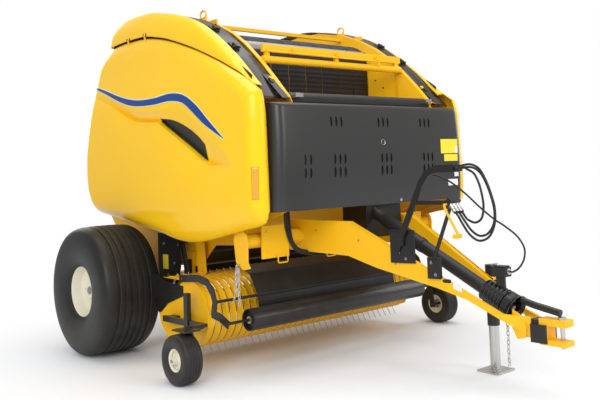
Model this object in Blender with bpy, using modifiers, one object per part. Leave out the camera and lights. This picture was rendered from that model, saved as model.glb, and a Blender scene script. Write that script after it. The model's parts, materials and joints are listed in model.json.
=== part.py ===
"""Round baler with a belt chamber, a wide tined pick-up and a V-shaped tongue, parked on its jack.

Metres, +Z up. The hitch points to -Y, the tailgate to +Y, and +X is the machine's left-hand side.
Every place below is given from the main axle: y is aft of it, z is above the ground. One empty,
"baler", carries that frame to the middle of the machine's length.
"""

import math

import bmesh
import bpy
from mathutils import Matrix, Vector

# Gaps between pieces.
SEAT = 0.0003          # between pieces that touch
PIN_PLAY = 0.0008      # round a pin or a shaft that turns
RUN = 0.008            # between pieces that pass each other

# The whole machine.
TAIL_Y = 1.20          # rearmost point of the tail lamps
FRONT_Y = -3.86        # front of the hitch clevis
AXLE_Y = -(FRONT_Y + TAIL_Y) / 2   # main axle aft of the middle of the length
HITCH_Y = FRONT_Y + 0.052          # hitch pin
CLEVIS_Y = FRONT_Y + 0.20          # back of the hitch clevis
NOSE_X, NOSE_Y = 0.050, CLEVIS_Y + 0.06    # half-width and front of the tongue's nose

# Bale chamber.
WALL_X = 0.788         # inner face of a side wall
WALL_T = 0.008
WALL_OUT = WALL_X + WALL_T
WALL_FRONT_Y = -2.10
FLANGE_X = WALL_OUT + 0.036        # outer edge of the flange along its curved front
PIVOT = (-0.30, 2.68)  # tailgate pivot, y and z
SPLIT_R = 0.33         # round split between walls and tailgate, about the pivot
SPLIT_Y = 0.02         # straight part of that split
PIVOT_R = 0.022
EYE_Y, EYE_Z, EYE_WIRE = -0.918, 2.905, 0.008  # lifting eye on each wall
EYE_SEAT_Z = 2.820     # foot of the eye on the wall
TOP_TUBE_Y, TOP_TUBE_Z, TOP_TUBE_R = -1.722, 2.420, 0.030   # tube between the walls, under the flat beam

LAMP_BAR_Z = (1.50, 1.58)
BELT_COUNT, BELT_GAP, BELT_T = 6, 0.022, 0.012
BELT_ROLLER_R = 0.06
STARTER = (-0.72, 0.86, 0.12)      # starter roller, y, z and radius
FLOOR = (-0.30, 0.82, 0.10)        # floor roller
TROUGH = (-1.98, 2.06, 0.075)      # dark tube behind the hood's top

# Main wheels.
WHEEL_X = 1.301
TYRE_R = 0.555
TYRE_W = 0.54
RIM_R = 0.215
SPINDLE_R = 0.035

# Gauge wheels of the pick-up.
GAUGE_X = 1.447
GAUGE_Y = -1.508
GAUGE_R = 0.184
GAUGE_W = 0.15
GAUGE_RIM_R = 0.082
GAUGE_PIN_R = 0.012

# Pick-up.
REEL_Y, REEL_Z = -1.14, 0.425
TINE_R = 0.335         # circle of the tine tips
BAND_R = 0.255         # front curve of the stripper bands
BAND_T = 0.006
BAND_COUNT = 34
SLIT_W = 0.019
BAR_COUNT = 4          # tine bars
REEL_ANGLE = 250       # first bar, in degrees from +Y towards +Z
PLATE_X = 1.140        # inner face of a pick-up side plate
PLATE_T = 0.010
BAND_HALF = PLATE_X - SEAT         # half the width over the bands
LIFT_Y, LIFT_Z = -0.60, 0.64   # pick-up lift pivot
LIFT_R = 0.025
SHAFT_R = 0.020
REAR_TUBE_Y, REAR_TUBE_Z, REAR_TUBE_R = -0.70, 0.44, 0.04

# Wind guard over the pick-up.
GUARD_HINGE_Y, GUARD_HINGE_Z = -1.06, 0.70
GUARD_ROD_Y, GUARD_ROD_Z = -1.54, 0.56   # rod that carries the guard sheet
ROLLER_Y, ROLLER_Z, ROLLER_R, ROLLER_HALF = -1.675, 0.41, 0.084, 0.965
GUARD_ROD_R, GUARD_PIN_R = 0.012, 0.014
SHEET_HALF = 0.770     # half the width of the guard sheet, which swings up between the walls

# Cross tube, tongue and hitch.
CROSS_Y, CROSS_Z, CROSS_R = -1.72, 1.01, 0.058
HOOK_X = 1.035         # inner face of the hook plates at its ends
RAIL_ROOT = (0.470, -1.60)         # middle of a tongue rail at its rear end, x and y
RAIL_TIP = (0.130, NOSE_Y + 0.163)     # and where it turns in to the nose
RAIL_ROOT_W, RAIL_TIP_W = 0.075, 0.024
JACK_X, JACK_Y = 0.270, -3.05
JACK_R, JACK_LEG_R = 0.046, 0.038

# Drive shaft line, from the gearbox to the mouth of the bell.
SHAFT_REAR = (0.0, -2.22, 1.12)
SHAFT_FRONT = (0.0, NOSE_Y + 0.15, 0.525)
BELL_R, BELL_BACK_R = 0.100, 0.070     # at its mouth and at its back
BELL_WALL = 0.007
BELL_RIBS = 6
RIB_H = 0.007

# Hoses, parked in their bracket on the right-hand rail.
BRACKET_Y = (-2.79, -2.59)         # its foot on the rail
HOSE_X = -0.295                    # the plane that the bracket and the hoses lie about
BRACKET_X = (-0.3225, -0.3125)     # faces of the bracket's arm
HOSE_R, CABLE_R = 0.008, 0.0065
HOSE_PITCH = 0.034                 # between hoses side by side
CLAMP = (-3.215, 1.508)            # middle of the clamp at the arm's end, y and z
COUPLER_BACK, COUPLER_TIP = (-3.165, 1.292), (-3.232, 1.205)   # couplers, y and z
COUPLER_R = 0.014
BOX_Y, BOX_Z = (-3.40, -3.28), (0.745, 0.820)                  # cable's connector box over the bell

# Upper covers.
COVER_X = 0.955        # inner edge, beside the arch strip

# Front hood.
HOOD_Y = -2.19
HOOD_T = 0.006
HOOD_TOP, HOOD_LOW = 2.037, 1.237
HOOD_HALF_TOP, HOOD_HALF_LOW = 1.035, 1.055
SLOT_HALF_W, SLOT_HALF_H = 0.011, 0.036    # a louvre slot
SLOT_PITCH = 0.053
LOUVRES = (
    # height, (middle of a group, number of slots), ...
    (1.897, (-0.464, 3), (0.049, 3), (0.552, 3)),
    (1.608, (-0.765, 2), (-0.443, 3), (0.068, 3), (0.575, 3)),
    (1.510, (-0.765, 2), (-0.443, 3), (0.068, 3), (0.575, 3)),
)

# Side shields.
SHIELD_T = 0.008
SHIELD_PIVOT_X, SHIELD_PIVOT_Z = 1.091, 2.764
SHIELD_PIN_R = 0.005
SHIELD_HINGES = (-0.42, -0.12)     # y of its two hinges, in the seam under the upper cover
SHIELD_EDGE_X = 1.075  # inner edge of a shield all round
GILL_DEPTH = 0.060     # how far the gill that sweeps along a shield turns in
GILL_LIP = 0.012       # height of the step below it

# Drive plates between the chamber and the main wheels.
DRIVE_X, DRIVE_T = 0.900, 0.012
DRIVE_HUB = (-0.32, 0.52)

# Arms of the gauge wheels.
ARM_X, ARM_T = 1.205, 0.030        # inner face and thickness of the bar
ARM_Y, ARM_Z = (-1.43, -0.87), (0.355, 0.400)
LEG_X, LEG_T = 1.340, 0.012        # plate that carries the spindle

# Tailgate cylinders, drawn closed.
RAM_X = 0.875
RAM_FOOT = (-0.62, 1.50)   # barrel's pin on the wall, y and z
RAM_HEAD = (0.32, 2.02)    # rod's pin on the tailgate
RAM_R, RAM_ROD_R, RAM_PIN_R = 0.035, 0.018, 0.018

COLOURS = {
    # finish: (colour, roughness, metallic)
    "yellow": ((0.98, 0.74, 0.08), 0.35, 0.0),
    "shield_yellow": ((1.0, 0.80, 0.12), 0.22, 0.0),
    "dark_grey": ((0.08, 0.075, 0.07), 0.40, 0.0),
    "black": ((0.02, 0.02, 0.02), 0.45, 0.0),
    "rubber": ((0.025, 0.025, 0.027), 0.75, 0.0),
    "ivory": ((0.86, 0.84, 0.74), 0.40, 0.0),
    "steel": ((0.62, 0.62, 0.60), 0.35, 1.0),
    "orange_lens": ((0.9, 0.35, 0.03), 0.20, 0.0),
}

BODIES = {
    # body: (x, y, z) of its joint's axis, from the main axle
    "chassis": (0.0, 0.0, 0.0),
    "wheel_right": (-WHEEL_X, 0.0, TYRE_R),
    "wheel_left": (WHEEL_X, 0.0, TYRE_R),
    "tailgate": (0.0, PIVOT[0], PIVOT[1]),
    "shield_right": (-SHIELD_PIVOT_X, 0.0, SHIELD_PIVOT_Z),
    "shield_left": (SHIELD_PIVOT_X, 0.0, SHIELD_PIVOT_Z),
    "pickup": (0.0, LIFT_Y, LIFT_Z),
    "reel": (0.0, REEL_Y, REEL_Z),
    "wind_guard": (0.0, GUARD_HINGE_Y, GUARD_HINGE_Z),
    "guard_roller": (0.0, ROLLER_Y, ROLLER_Z),
    "ram_right": (-RAM_X, *RAM_FOOT),
    "ram_left": (RAM_X, *RAM_FOOT),
    "ram_rod_right": (-RAM_X, *RAM_HEAD),
    "ram_rod_left": (RAM_X, *RAM_HEAD),
    "gauge_wheel_right": (-GAUGE_X, GAUGE_Y, GAUGE_R),
    "gauge_wheel_left": (GAUGE_X, GAUGE_Y, GAUGE_R),
    "jack_leg": (JACK_X, JACK_Y, 0.0),
}


def clear_scene():
    """Remove everything that the scene holds."""
    for thing in list(bpy.data.objects):
        bpy.data.objects.remove(thing, do_unlink=True)
    for store in (bpy.data.meshes, bpy.data.curves, bpy.data.materials):
        for thing in list(store):
            store.remove(thing)


def new_collection(name, hidden=False):
    group = bpy.data.collections.new(name)
    group.hide_render = hidden
    bpy.context.scene.collection.children.link(group)
    return group


clear_scene()
PARTS = new_collection("Round baler")
SHOP = new_collection("Cutters and guides", hidden=True)


def empty(name, place, parent=None):
    axis = bpy.data.objects.new(name, None)
    axis.empty_display_size = 0.15
    axis.location = place
    axis.parent = parent
    PARTS.objects.link(axis)
    return axis


ROOT = empty("baler", (0.0, AXLE_Y, 0.0))
AXES = {name: empty("axis_" + name, place, ROOT) for name, place in BODIES.items()}


def finish_material(name):
    """The named finish, made once."""
    found = bpy.data.materials.get(name)
    if found:
        return found
    colour, roughness, metallic = COLOURS[name]
    found = bpy.data.materials.new(name)
    found.use_nodes = True
    shader = found.node_tree.nodes["Principled BSDF"]
    shader.inputs["Base Color"].default_value = (*colour, 1.0)
    shader.inputs["Roughness"].default_value = roughness
    shader.inputs["Metallic"].default_value = metallic
    found.diffuse_color = (*colour, 1.0)
    return found


# Shapes. Each function returns a closed mesh in the axle's frame.

def mesh_from(build):
    """A mesh made by one bmesh function, its normals facing out."""
    shape = bmesh.new()
    build(shape)
    bmesh.ops.recalc_face_normals(shape, faces=shape.faces)
    mesh = bpy.data.meshes.new("shape")
    shape.to_mesh(mesh)
    shape.free()
    return mesh


def box(x, y, z, turn=0.0):
    """A box from (low, high) pairs, turned about X through its own middle by an angle in degrees."""
    centre = Vector(((x[0] + x[1]) / 2, (y[0] + y[1]) / 2, (z[0] + z[1]) / 2))
    size = Vector((x[1] - x[0], y[1] - y[0], z[1] - z[0]))
    place = Matrix.Translation(centre) @ Matrix.Rotation(math.radians(turn), 4, "X") @ Matrix.Diagonal((*size, 1))
    return mesh_from(lambda shape: bmesh.ops.create_cube(shape, size=1.0, matrix=place))


def rod(start, end, radius, sides=16, end_radius=None):
    """A cylinder or cone between two points."""
    start, end = Vector(start), Vector(end)
    along = end - start
    place = Matrix.Translation((start + end) / 2) @ along.to_track_quat("Z", "Y").to_matrix().to_4x4()
    tip = radius if end_radius is None else end_radius
    return mesh_from(lambda shape: bmesh.ops.create_cone(
        shape, cap_ends=True, segments=sides, radius1=radius, radius2=tip, depth=along.length, matrix=place))


def tube_x(x0, x1, y, z, radius, sides=20):
    return rod((x0, y, z), (x1, y, z), radius, sides)


def from_object(thing):
    """The evaluated mesh of a helper object in the axle's frame; the object is removed."""
    bpy.context.view_layer.update()
    graph = bpy.context.evaluated_depsgraph_get()
    mesh = bpy.data.meshes.new_from_object(thing.evaluated_get(graph))
    mesh.transform(thing.matrix_world)
    bpy.data.objects.remove(thing, do_unlink=True)
    shape = bmesh.new()
    shape.from_mesh(mesh)
    bmesh.ops.remove_doubles(shape, verts=shape.verts, dist=0.00002)
    bmesh.ops.recalc_face_normals(shape, faces=shape.faces)
    shape.to_mesh(mesh)
    shape.free()
    return mesh


def plate(outline, x0, x1):
    """A flat plate with its (y, z) outline, from x0 to x1."""
    curve = bpy.data.curves.new("outline", "CURVE")
    curve.dimensions = "2D"
    curve.fill_mode = "BOTH"
    curve.extrude = abs(x1 - x0) / 2
    spline = curve.splines.new("POLY")
    spline.points.add(len(outline) - 1)
    for point, (y, z) in zip(spline.points, outline):
        point.co = (y, z, 0.0, 1.0)
    spline.use_cyclic_u = True
    thing = bpy.data.objects.new("outline", curve)
    SHOP.objects.link(thing)
    # The curve's X, Y and Z become the machine's Y, Z and X.
    thing.matrix_world = Matrix.Translation(((x0 + x1) / 2, 0, 0)) @ Matrix(
        ((0, 0, 1, 0), (1, 0, 0, 0), (0, 1, 0, 0), (0, 0, 0, 1)))
    return from_object(thing)


def wire(points, radius, resolution=2, cyclic=False):
    """A round bar or tube along points."""
    curve = bpy.data.curves.new("route", "CURVE")
    curve.dimensions = "3D"
    curve.bevel_depth = radius
    curve.bevel_resolution = resolution
    curve.use_fill_caps = not cyclic
    spline = curve.splines.new("POLY")
    spline.points.add(len(points) - 1)
    for point, place in zip(spline.points, points):
        point.co = (*place, 1.0)
    spline.use_cyclic_u = cyclic
    thing = bpy.data.objects.new("route", curve)
    SHOP.objects.link(thing)
    return from_object(thing)


def turned(profile, place, steps):
    """A profile of (offset, radius) turned round the local Z axis of a placing matrix.

    The profile is closed by itself unless both its ends lie on the axis.
    """
    mesh = bpy.data.meshes.new("profile")
    on_axis = profile[0][1] == 0.0 and profile[-1][1] == 0.0
    edges = [(i, i + 1) for i in range(len(profile) - 1)]
    if not on_axis:
        edges.append((len(profile) - 1, 0))
    mesh.from_pydata([(r, 0.0, offset) for offset, r in profile], edges, [])
    thing = bpy.data.objects.new("profile", mesh)
    SHOP.objects.link(thing)
    screw = thing.modifiers.new("Turn", "SCREW")
    screw.steps = screw.render_steps = steps
    screw.use_merge_vertices = on_axis
    screw.merge_threshold = 0.00005
    thing.matrix_world = place
    return from_object(thing)


def turned_x(profile, x, y, z, steps=40, side=1.0):
    """A profile of (offset outwards, radius) turned round the X axis through y and z."""
    place = Matrix.Translation((x, y, z)) @ Matrix.Rotation(math.radians(90 * side), 4, "Y")
    return turned(profile, place, steps)


def strap(path, width, x0, x1):
    """A flat bar of even width that bends along (y, z) points."""
    points = [Vector(p) for p in path]
    near, far = [], []
    for i, point in enumerate(points):
        ahead = (points[min(i + 1, len(points) - 1)] - points[max(i - 1, 0)]).normalized()
        across = Vector((-ahead.y, ahead.x)) * width / 2
        near.append(tuple(point + across))
        far.append(tuple(point - across))
    return plate(near + far[::-1], x0, x1)


def shell(rows, thickness, offset=-1.0):
    """A sheet through rows of points, all rows alike in length, thickened to one side or, at offset 0, to both."""
    mesh = bpy.data.meshes.new("sheet")
    across = len(rows[0])
    points = [point for row in rows for point in row]
    faces = [
        (i * across + j, i * across + j + 1, (i + 1) * across + j + 1, (i + 1) * across + j)
        for i in range(len(rows) - 1) for j in range(across - 1)
    ]
    mesh.from_pydata(points, [], faces)
    thing = bpy.data.objects.new("sheet", mesh)
    SHOP.objects.link(thing)
    solid = thing.modifiers.new("Thickness", "SOLIDIFY")
    solid.thickness = thickness
    solid.offset = offset
    return from_object(thing)


def mirrored(mesh):
    """The same mesh on the other side of the machine's middle plane."""
    def build(shape):
        shape.from_mesh(mesh)
        bmesh.ops.transform(shape, matrix=Matrix.Diagonal((-1, 1, 1, 1)), verts=shape.verts)
    return mesh_from(build)


def helper(mesh, group):
    thing = bpy.data.objects.new("helper", mesh)
    thing.display_type = "WIRE"
    thing.hide_render = True
    group.objects.link(thing)
    return thing


def joined(solids, cuts=()):
    """One mesh from overlapping solids, less the cuts."""
    base = helper(solids[0], SHOP)
    helpers = []
    for operation, meshes in (("UNION", solids[1:]), ("DIFFERENCE", cuts)):
        for mesh in meshes:
            other = helper(mesh, SHOP)
            helpers.append(other)
            modifier = base.modifiers.new("Join", "BOOLEAN")
            modifier.operation = operation
            modifier.solver = "EXACT"
            modifier.object = other
    mesh = from_object(base)
    for other in helpers:
        bpy.data.objects.remove(other, do_unlink=True)
    return mesh


def part(name, body, finish, solids, cuts=(), side=1, sharp=35):
    """One named part of a body, its origin on the body's joint axis.

    The shapes are drawn on the left-hand side (+X), and side=-1 mirrors the finished part.
    """
    mesh = joined(solids, cuts) if len(solids) > 1 or cuts else solids[0]
    if side < 0:
        mesh = mirrored(mesh)
    mesh.name = name
    mesh.transform(Matrix.Translation(-Vector(BODIES[body])))
    mesh.materials.clear()
    mesh.materials.append(finish_material(finish))
    mesh.shade_smooth()
    mesh.set_sharp_from_angle(angle=math.radians(sharp))
    thing = bpy.data.objects.new(name, mesh)
    thing.parent = AXES[body]
    PARTS.objects.link(thing)
    return thing


def arc(y, z, radius, start, end, count):
    """Points on a circle in the side view, angles in degrees from +Y towards +Z."""
    return [
        (y + radius * math.cos(math.radians(start + (end - start) * i / count)),
         z + radius * math.sin(math.radians(start + (end - start) * i / count)))
        for i in range(count + 1)
    ]


def smooth_path(points, per_span):
    """Points on a smooth curve through the given ones (Catmull-Rom)."""
    ends = [Vector(points[0])] + [Vector(p) for p in points] + [Vector(points[-1])]
    out = []
    for i in range(1, len(ends) - 2):
        p0, p1, p2, p3 = ends[i - 1:i + 3]
        for k in range(per_span):
            t = k / per_span
            out.append(0.5 * (2 * p1 + (p2 - p0) * t + (2 * p0 - 5 * p1 + 4 * p2 - p3) * t ** 2
                              + (3 * p1 - p0 - 3 * p2 + p3) * t ** 3))
    return out + [ends[-1]]


SIDES = {"right": -1, "left": 1}


# Wheels.

def tyre_profile(radius, width, bead):
    """Half-round shoulders and a nearly flat crown, as (offset, radius)."""
    half = width / 2
    height = radius - bead
    side = [
        (0.82 * half, bead), (0.96 * half, bead + 0.26 * height), (half, bead + 0.60 * height),
        (0.93 * half, bead + 0.87 * height), (0.66 * half, bead + 0.985 * height),
    ]
    return side + [(0.0, radius)] + [(-offset, r) for offset, r in reversed(side)]


def rim_profile(radius, width, bore, dish):
    """A dished wheel as a closed loop: bore, hub, disc, well and outer flange."""
    half = width / 2
    wall = 0.012
    return [
        (-0.30 * half, bore), (0.72 * half, bore), (0.72 * half, bore * 1.9), (dish + wall, bore * 2.1),
        (dish + 2 * wall, 0.60 * radius), (0.74 * half, 0.90 * radius), (0.80 * half, radius - SEAT),
        (-0.80 * half, radius - SEAT), (-0.74 * half, 0.90 * radius), (dish, 0.70 * radius),
        (dish - wall, bore * 2.1), (-0.30 * half, bore * 1.9),
    ]


def build_wheels():
    for side, sign in SIDES.items():
        for kind, x, y, radius, width, rim_r, pin_r, steps in (
            ("wheel", WHEEL_X, 0.0, TYRE_R, TYRE_W, RIM_R, SPINDLE_R, 28),
            ("gauge_wheel", GAUGE_X, GAUGE_Y, GAUGE_R, GAUGE_W, GAUGE_RIM_R, GAUGE_PIN_R, 16),
        ):
            body = f"{kind}_{side}"
            tyre = turned_x(tyre_profile(radius, width, rim_r), sign * x, y, radius, steps, sign)
            rim = turned_x(rim_profile(rim_r, width, pin_r + PIN_PLAY, 0.28 * width), sign * x, y, radius,
                           steps, sign)
            prefix = "main" if kind == "wheel" else "gauge"
            part(f"{prefix}_tyre_{side}", body, "rubber", [tyre])
            part(f"{prefix}_rim_{side}", body, "ivory", [rim])


# Chamber and frame.

def wall_outline():
    """The fixed part of a chamber wall in the side view."""
    pivot_y, pivot_z = PIVOT
    split = SPLIT_R - RUN / 2
    return [
        (WALL_FRONT_Y, 1.26), (-1.62, 1.12), (-1.62, 0.96), (-1.00, 0.93), (-0.84, 0.80), (-0.72, 0.74),
        (SPLIT_Y - RUN / 2, 0.72),
        *arc(pivot_y, pivot_z, split, 0, 46, 6),
        (-0.28, 2.935), (-0.60, 2.93), (-0.94, 2.86), (-1.19, 2.765), (-1.39, 2.665), (-1.55, 2.56),
        (-1.72, 2.42), (-1.89, 2.26), (-2.06, 2.09), (WALL_FRONT_Y, 2.0),
    ]


def front_curve():
    """The chamber's curved front edge, from its top to the hood, as (y, z)."""
    return [(-0.94, 2.86), (-1.19, 2.765), (-1.39, 2.665), (-1.55, 2.56), (-1.72, 2.42), (-1.89, 2.26),
            (-2.06, 2.085)]


def build_walls():
    for side, sign in SIDES.items():
        sheet = plate(wall_outline(), WALL_X, WALL_OUT)
        flange = shell([[(WALL_OUT - 0.003, y, z), (FLANGE_X, y, z)] for y, z in front_curve()], 0.007, -0.2)
        pin = tube_x(WALL_OUT - 0.002, WALL_OUT + 0.040, *PIVOT, PIVOT_R, 20)
        ring = [(WALL_OUT + EYE_WIRE, EYE_Y + 0.045 * math.cos(a * math.pi / 6),
                 EYE_Z + 0.035 * math.sin(a * math.pi / 6)) for a in range(12)]
        eye = wire(ring, EYE_WIRE, 1, True)
        eye_foot = box((WALL_OUT - 0.002, WALL_OUT + 0.013), (EYE_Y - 0.042, EYE_Y + 0.043),
                       (min(EYE_SEAT_Z, EYE_Z - 0.085), EYE_Z - 0.025))
        ram_pin = tube_x(WALL_OUT - 0.002, RAM_X + 0.03, *RAM_FOOT, RAM_PIN_R, 14)
        part(f"chamber_wall_{side}", "chassis", "yellow",
             [sheet, flange, pin, eye_foot, eye, ram_pin], side=sign)


def tail_outline():
    """A tailgate side in the side view: the split, the belly, the round rear and the top."""
    pivot_y, pivot_z = PIVOT
    split = SPLIT_R + RUN / 2
    return [
        (SPLIT_Y + RUN / 2, 0.76), (0.35, 0.78), (0.72, 0.98), (0.98, 1.26), (1.12, 1.60), (1.13, 1.95),
        (1.02, 2.30), (0.80, 2.58), (0.52, 2.78), (0.22, 2.87), (0.02, 2.90),
        *reversed(arc(pivot_y, pivot_z, split, 0, 33, 5)),
    ]


def tail_side():
    """The solids of the left-hand side of the tailgate, and the hole for its pivot."""
    pivot_y, pivot_z = PIVOT
    arm_in, arm_out = WALL_OUT + RUN, WALL_OUT + RUN + 0.014
    sheet = plate(tail_outline(), WALL_X, WALL_OUT)
    spacer = plate([(0.10, 2.40), (0.36, 2.40), (0.36, 2.66), (0.10, 2.66)], WALL_OUT - 0.002, arm_out)
    arm = plate([(pivot_y - 0.055, pivot_z - 0.03), (pivot_y, pivot_z - 0.06), (0.10, 2.38), (0.36, 2.38),
                 (0.36, 2.68), (pivot_y, pivot_z + 0.06), (pivot_y - 0.055, pivot_z + 0.03)], arm_in, arm_out)
    hole = tube_x(arm_in - 0.01, arm_out + 0.01, pivot_y, pivot_z, PIVOT_R + PIN_PLAY, 20)
    boss = tube_x(WALL_OUT - 0.002, RAM_X - RAM_R - 0.002, *RAM_HEAD, 0.03, 16)
    return [sheet, spacer, arm, boss], hole


def build_tailgate():
    left, left_hole = tail_side()
    right = [mirrored(mesh) for mesh in left]
    into = WALL_X + 0.002
    ties = [tube_x(-into, into, y, z, 0.05, 14) for y, z in ((0.30, 2.66), (0.55, 0.98))]
    lamp_bar = box((-WALL_OUT - 0.014, WALL_OUT + 0.014), (1.145, 1.185), LAMP_BAR_Z)
    ends = [box(sorted((sign * (WALL_OUT - 0.002), sign * (WALL_OUT + 0.014))), (1.00, 1.160), LAMP_BAR_Z)
            for sign in (-1, 1)]
    part("tailgate_frame", "tailgate", "yellow", left + right + ties + [lamp_bar] + ends,
         [left_hole, mirrored(left_hole)])
    inner = WALL_X - SEAT
    path = [(0.44, 2.612), (0.62, 2.55), (0.83, 2.37), (1.00, 2.02), (1.01, 1.55), (0.88, 1.26), (0.64, 1.045)]
    rollers = [tube_x(-inner, inner, y, z, BELT_ROLLER_R, 14) for y, z in ((0.45, 2.555), (0.62, 1.10))]
    part("tailgate_belts", "tailgate", "rubber", rollers[:1] + belt_strips(path, BELT_T) + rollers[1:])
    low, high = LAMP_BAR_Z
    for side, sign in SIDES.items():
        lamp = box((sign * 0.70 - 0.09, sign * 0.70 + 0.09), (1.185 + SEAT, TAIL_Y), (low - 0.01, high + 0.01))
        part(f"tail_lamp_{side}", "tailgate", "orange_lens", [lamp])


def belt_strips(path, thickness):
    """The belts side by side, each following the path of (y, z) points."""
    width = (2 * (WALL_X - 0.02) - (BELT_COUNT - 1) * BELT_GAP) / BELT_COUNT
    strips = []
    for i in range(BELT_COUNT):
        x0 = -(WALL_X - 0.02) + i * (width + BELT_GAP)
        strips.append(shell([[(x0, y, z), (x0 + width, y, z)] for y, z in path], thickness, 0.0))
    return strips


def build_chamber():
    inner = WALL_X - SEAT
    path = [(-0.75, 2.72), (-1.00, 2.72), (-1.22, 2.66), (-1.30, 2.58), (-1.31, 2.40), (-1.30, 1.90), (-1.28, 1.30)]
    rollers = [tube_x(-inner, inner, y, z, BELT_ROLLER_R, 14) for y, z in ((-0.80, 2.665), (-1.245, 2.59), (-1.225, 1.36))]
    part("chamber_belts", "chassis", "rubber", rollers[:1] + belt_strips(path, BELT_T) + rollers[1:])
    for name, (y, z, radius) in (("starter_roller", STARTER), ("floor_roller", FLOOR), ("front_trough", TROUGH)):
        part(name, "chassis", "black", [tube_x(-inner, inner, y, z, radius, 22)])
    across = (TOP_TUBE_Y - 0.008, TOP_TUBE_Y + 0.022)
    feet = [box((x - 0.02, x + 0.02), across, (TOP_TUBE_Z + TOP_TUBE_R - 0.006, TOP_TUBE_Z + 0.10))
            for x in (-0.74, 0.0, 0.74)]
    beam = box((-inner, inner), across, (TOP_TUBE_Z + 0.08, TOP_TUBE_Z + 0.165))
    part("top_beam", "chassis", "yellow",
         [tube_x(-inner, inner, TOP_TUBE_Y, TOP_TUBE_Z, TOP_TUBE_R, 16), *feet, beam])


# Covers.

def arch_curve():
    """The dark arch strip in the side view, from the top down to the hood."""
    return smooth_path([(0, -0.90, 2.865), (0, -1.19, 2.765), (0, -1.55, 2.56), (0, -1.85, 2.28), (0, -2.05, 2.075)], 3)


def build_covers():
    for side, sign in SIDES.items():
        strip = shell([[(FLANGE_X + SEAT, p.y, p.z), (COVER_X - SEAT, p.y, p.z)] for p in arch_curve()], 0.006)
        part(f"arch_cover_{side}", "chassis", "dark_grey", [strip], side=sign)
        rows = [
            # y, height at the arch strip, height at the seam, width at the seam
            (0.28, 2.93, 2.755, 1.085), (0.00, 2.985, 2.79, 1.085), (-0.40, 2.985, 2.785, 1.085),
            (-0.70, 2.93, 2.74, 1.09), (-1.00, 2.835, 2.66, 1.095), (-1.30, 2.71, 2.55, 1.10),
            (-1.55, 2.56, 2.44, 1.10), (-1.75, 2.39, 2.345, 1.10),
        ]
        grid = []
        for y, top, seam, wide in rows:
            grid.append([(COVER_X + (wide - COVER_X) * math.sin(a * math.pi / 12),
                          y, seam + (top - seam) * math.cos(a * math.pi / 12)) for a in range(7)])
        hinges = []
        for y in SHIELD_HINGES:
            hinges.append(rod((SHIELD_PIVOT_X, y - 0.03, SHIELD_PIVOT_Z), (SHIELD_PIVOT_X, y + 0.03, SHIELD_PIVOT_Z),
                              SHIELD_PIN_R, 12))
            hinges.extend(box((SHIELD_PIVOT_X - 0.006, SHIELD_PIVOT_X + 0.006), (y0, y0 + 0.014),
                              (SHIELD_PIVOT_Z - 0.006, SHIELD_PIVOT_Z + 0.036)) for y0 in (y - 0.03, y + 0.016))
        part(f"upper_cover_{side}", "chassis", "shield_yellow", [shell(grid, 0.006)] + hinges, side=sign)


def hood_half(z):
    """Half-width of the hood at a height."""
    t = (z - HOOD_LOW) / (HOOD_TOP - HOOD_LOW)
    return HOOD_HALF_LOW + (HOOD_HALF_TOP - HOOD_HALF_LOW) * t


def build_hood():
    rows = []
    for z, back in ((HOOD_LOW, 0.0), (1.64, 0.0), (HOOD_TOP - 0.05, 0.0), (HOOD_TOP - 0.012, 0.012), (HOOD_TOP, 0.05)):
        half = hood_half(z)
        left = [(half, HOOD_Y + 0.13), (half, HOOD_Y + 0.06), (half - 0.018, HOOD_Y + 0.018), (half - 0.06, HOOD_Y)]
        row = [(-x, y + back, z) for x, y in left] + [(x, y + back, z) for x, y in reversed(left)]
        rows.append(row)
    feet = [box(sorted((sign * (WALL_X - 0.02), sign * (WALL_OUT + 0.03))),
                (HOOD_Y + HOOD_T / 2, WALL_FRONT_Y - SEAT), (z, z + 0.10)) for sign in (-1, 1) for z in (1.40, 1.75)]
    part("front_hood", "chassis", "dark_grey", [shell(rows, HOOD_T)] + feet, [louvre_cutter()])


def louvre_cutter():
    """All louvre slots as one cutter: upright slots with pointed round ends, in groups along three rows."""
    w, h = SLOT_HALF_W, SLOT_HALF_H
    comb = bmesh.new()
    for z, *groups in LOUVRES:
        for middle, count in groups:
            for k in range(count):
                x = middle + (k - (count - 1) / 2) * SLOT_PITCH
                outline = [(x - w, z - h * 0.75), (x, z - h), (x + w, z - h * 0.75),
                           (x + w, z + h * 0.75), (x, z + h), (x - w, z + h * 0.75)]
                comb.from_mesh(loft([[(px, y, pz) for px, pz in outline]
                                     for y in (HOOD_Y - 0.02, HOOD_Y + HOOD_T + 0.02)]))
    mesh = bpy.data.meshes.new("louvres")
    comb.to_mesh(mesh)
    comb.free()
    return mesh


SHIELD_ROWS = (
    # z, front y, rear y, half-width in the middle
    (2.735, -0.62, -0.10, 1.090), (2.70, -0.74, 0.28, 1.105), (2.62, -1.04, 0.43, 1.120),
    (2.44, -1.51, 0.48, 1.140), (2.285, -1.85, 0.50, 1.165), (2.15, -2.05, 0.515, 1.185),
    (2.03, -2.115, 0.53, 1.195), (1.80, -2.125, 0.61, 1.200), (1.52, -2.13, 0.635, 1.200),
    (1.33, -2.135, 0.54, 1.195), (1.27, -2.155, 0.34, 1.190), (1.24, -2.16, -0.30, 1.185),
    (1.20, -2.07, -0.62, 1.175), (1.14, -1.95, -1.00, 1.165), (1.09, -1.84, -1.22, 1.155),
    (1.045, -1.70, -1.42, 1.145),
)
GILL = (
    # y, upper edge, lower edge
    (-2.03, 1.470, 1.455), (-1.66, 1.760, 1.610), (-1.44, 1.895, 1.630), (-1.25, 2.005, 1.735),
    (-1.00, 2.080, 1.880), (-0.72, 2.078, 1.995), (-0.34, 2.110, 2.037), (0.14, 2.262, 2.215), (0.55, 2.360, 2.320),
)
ABOVE_GILL = (0.16, 0.33, 0.55)    # lines between the last straight row above the gill and its upper edge
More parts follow.
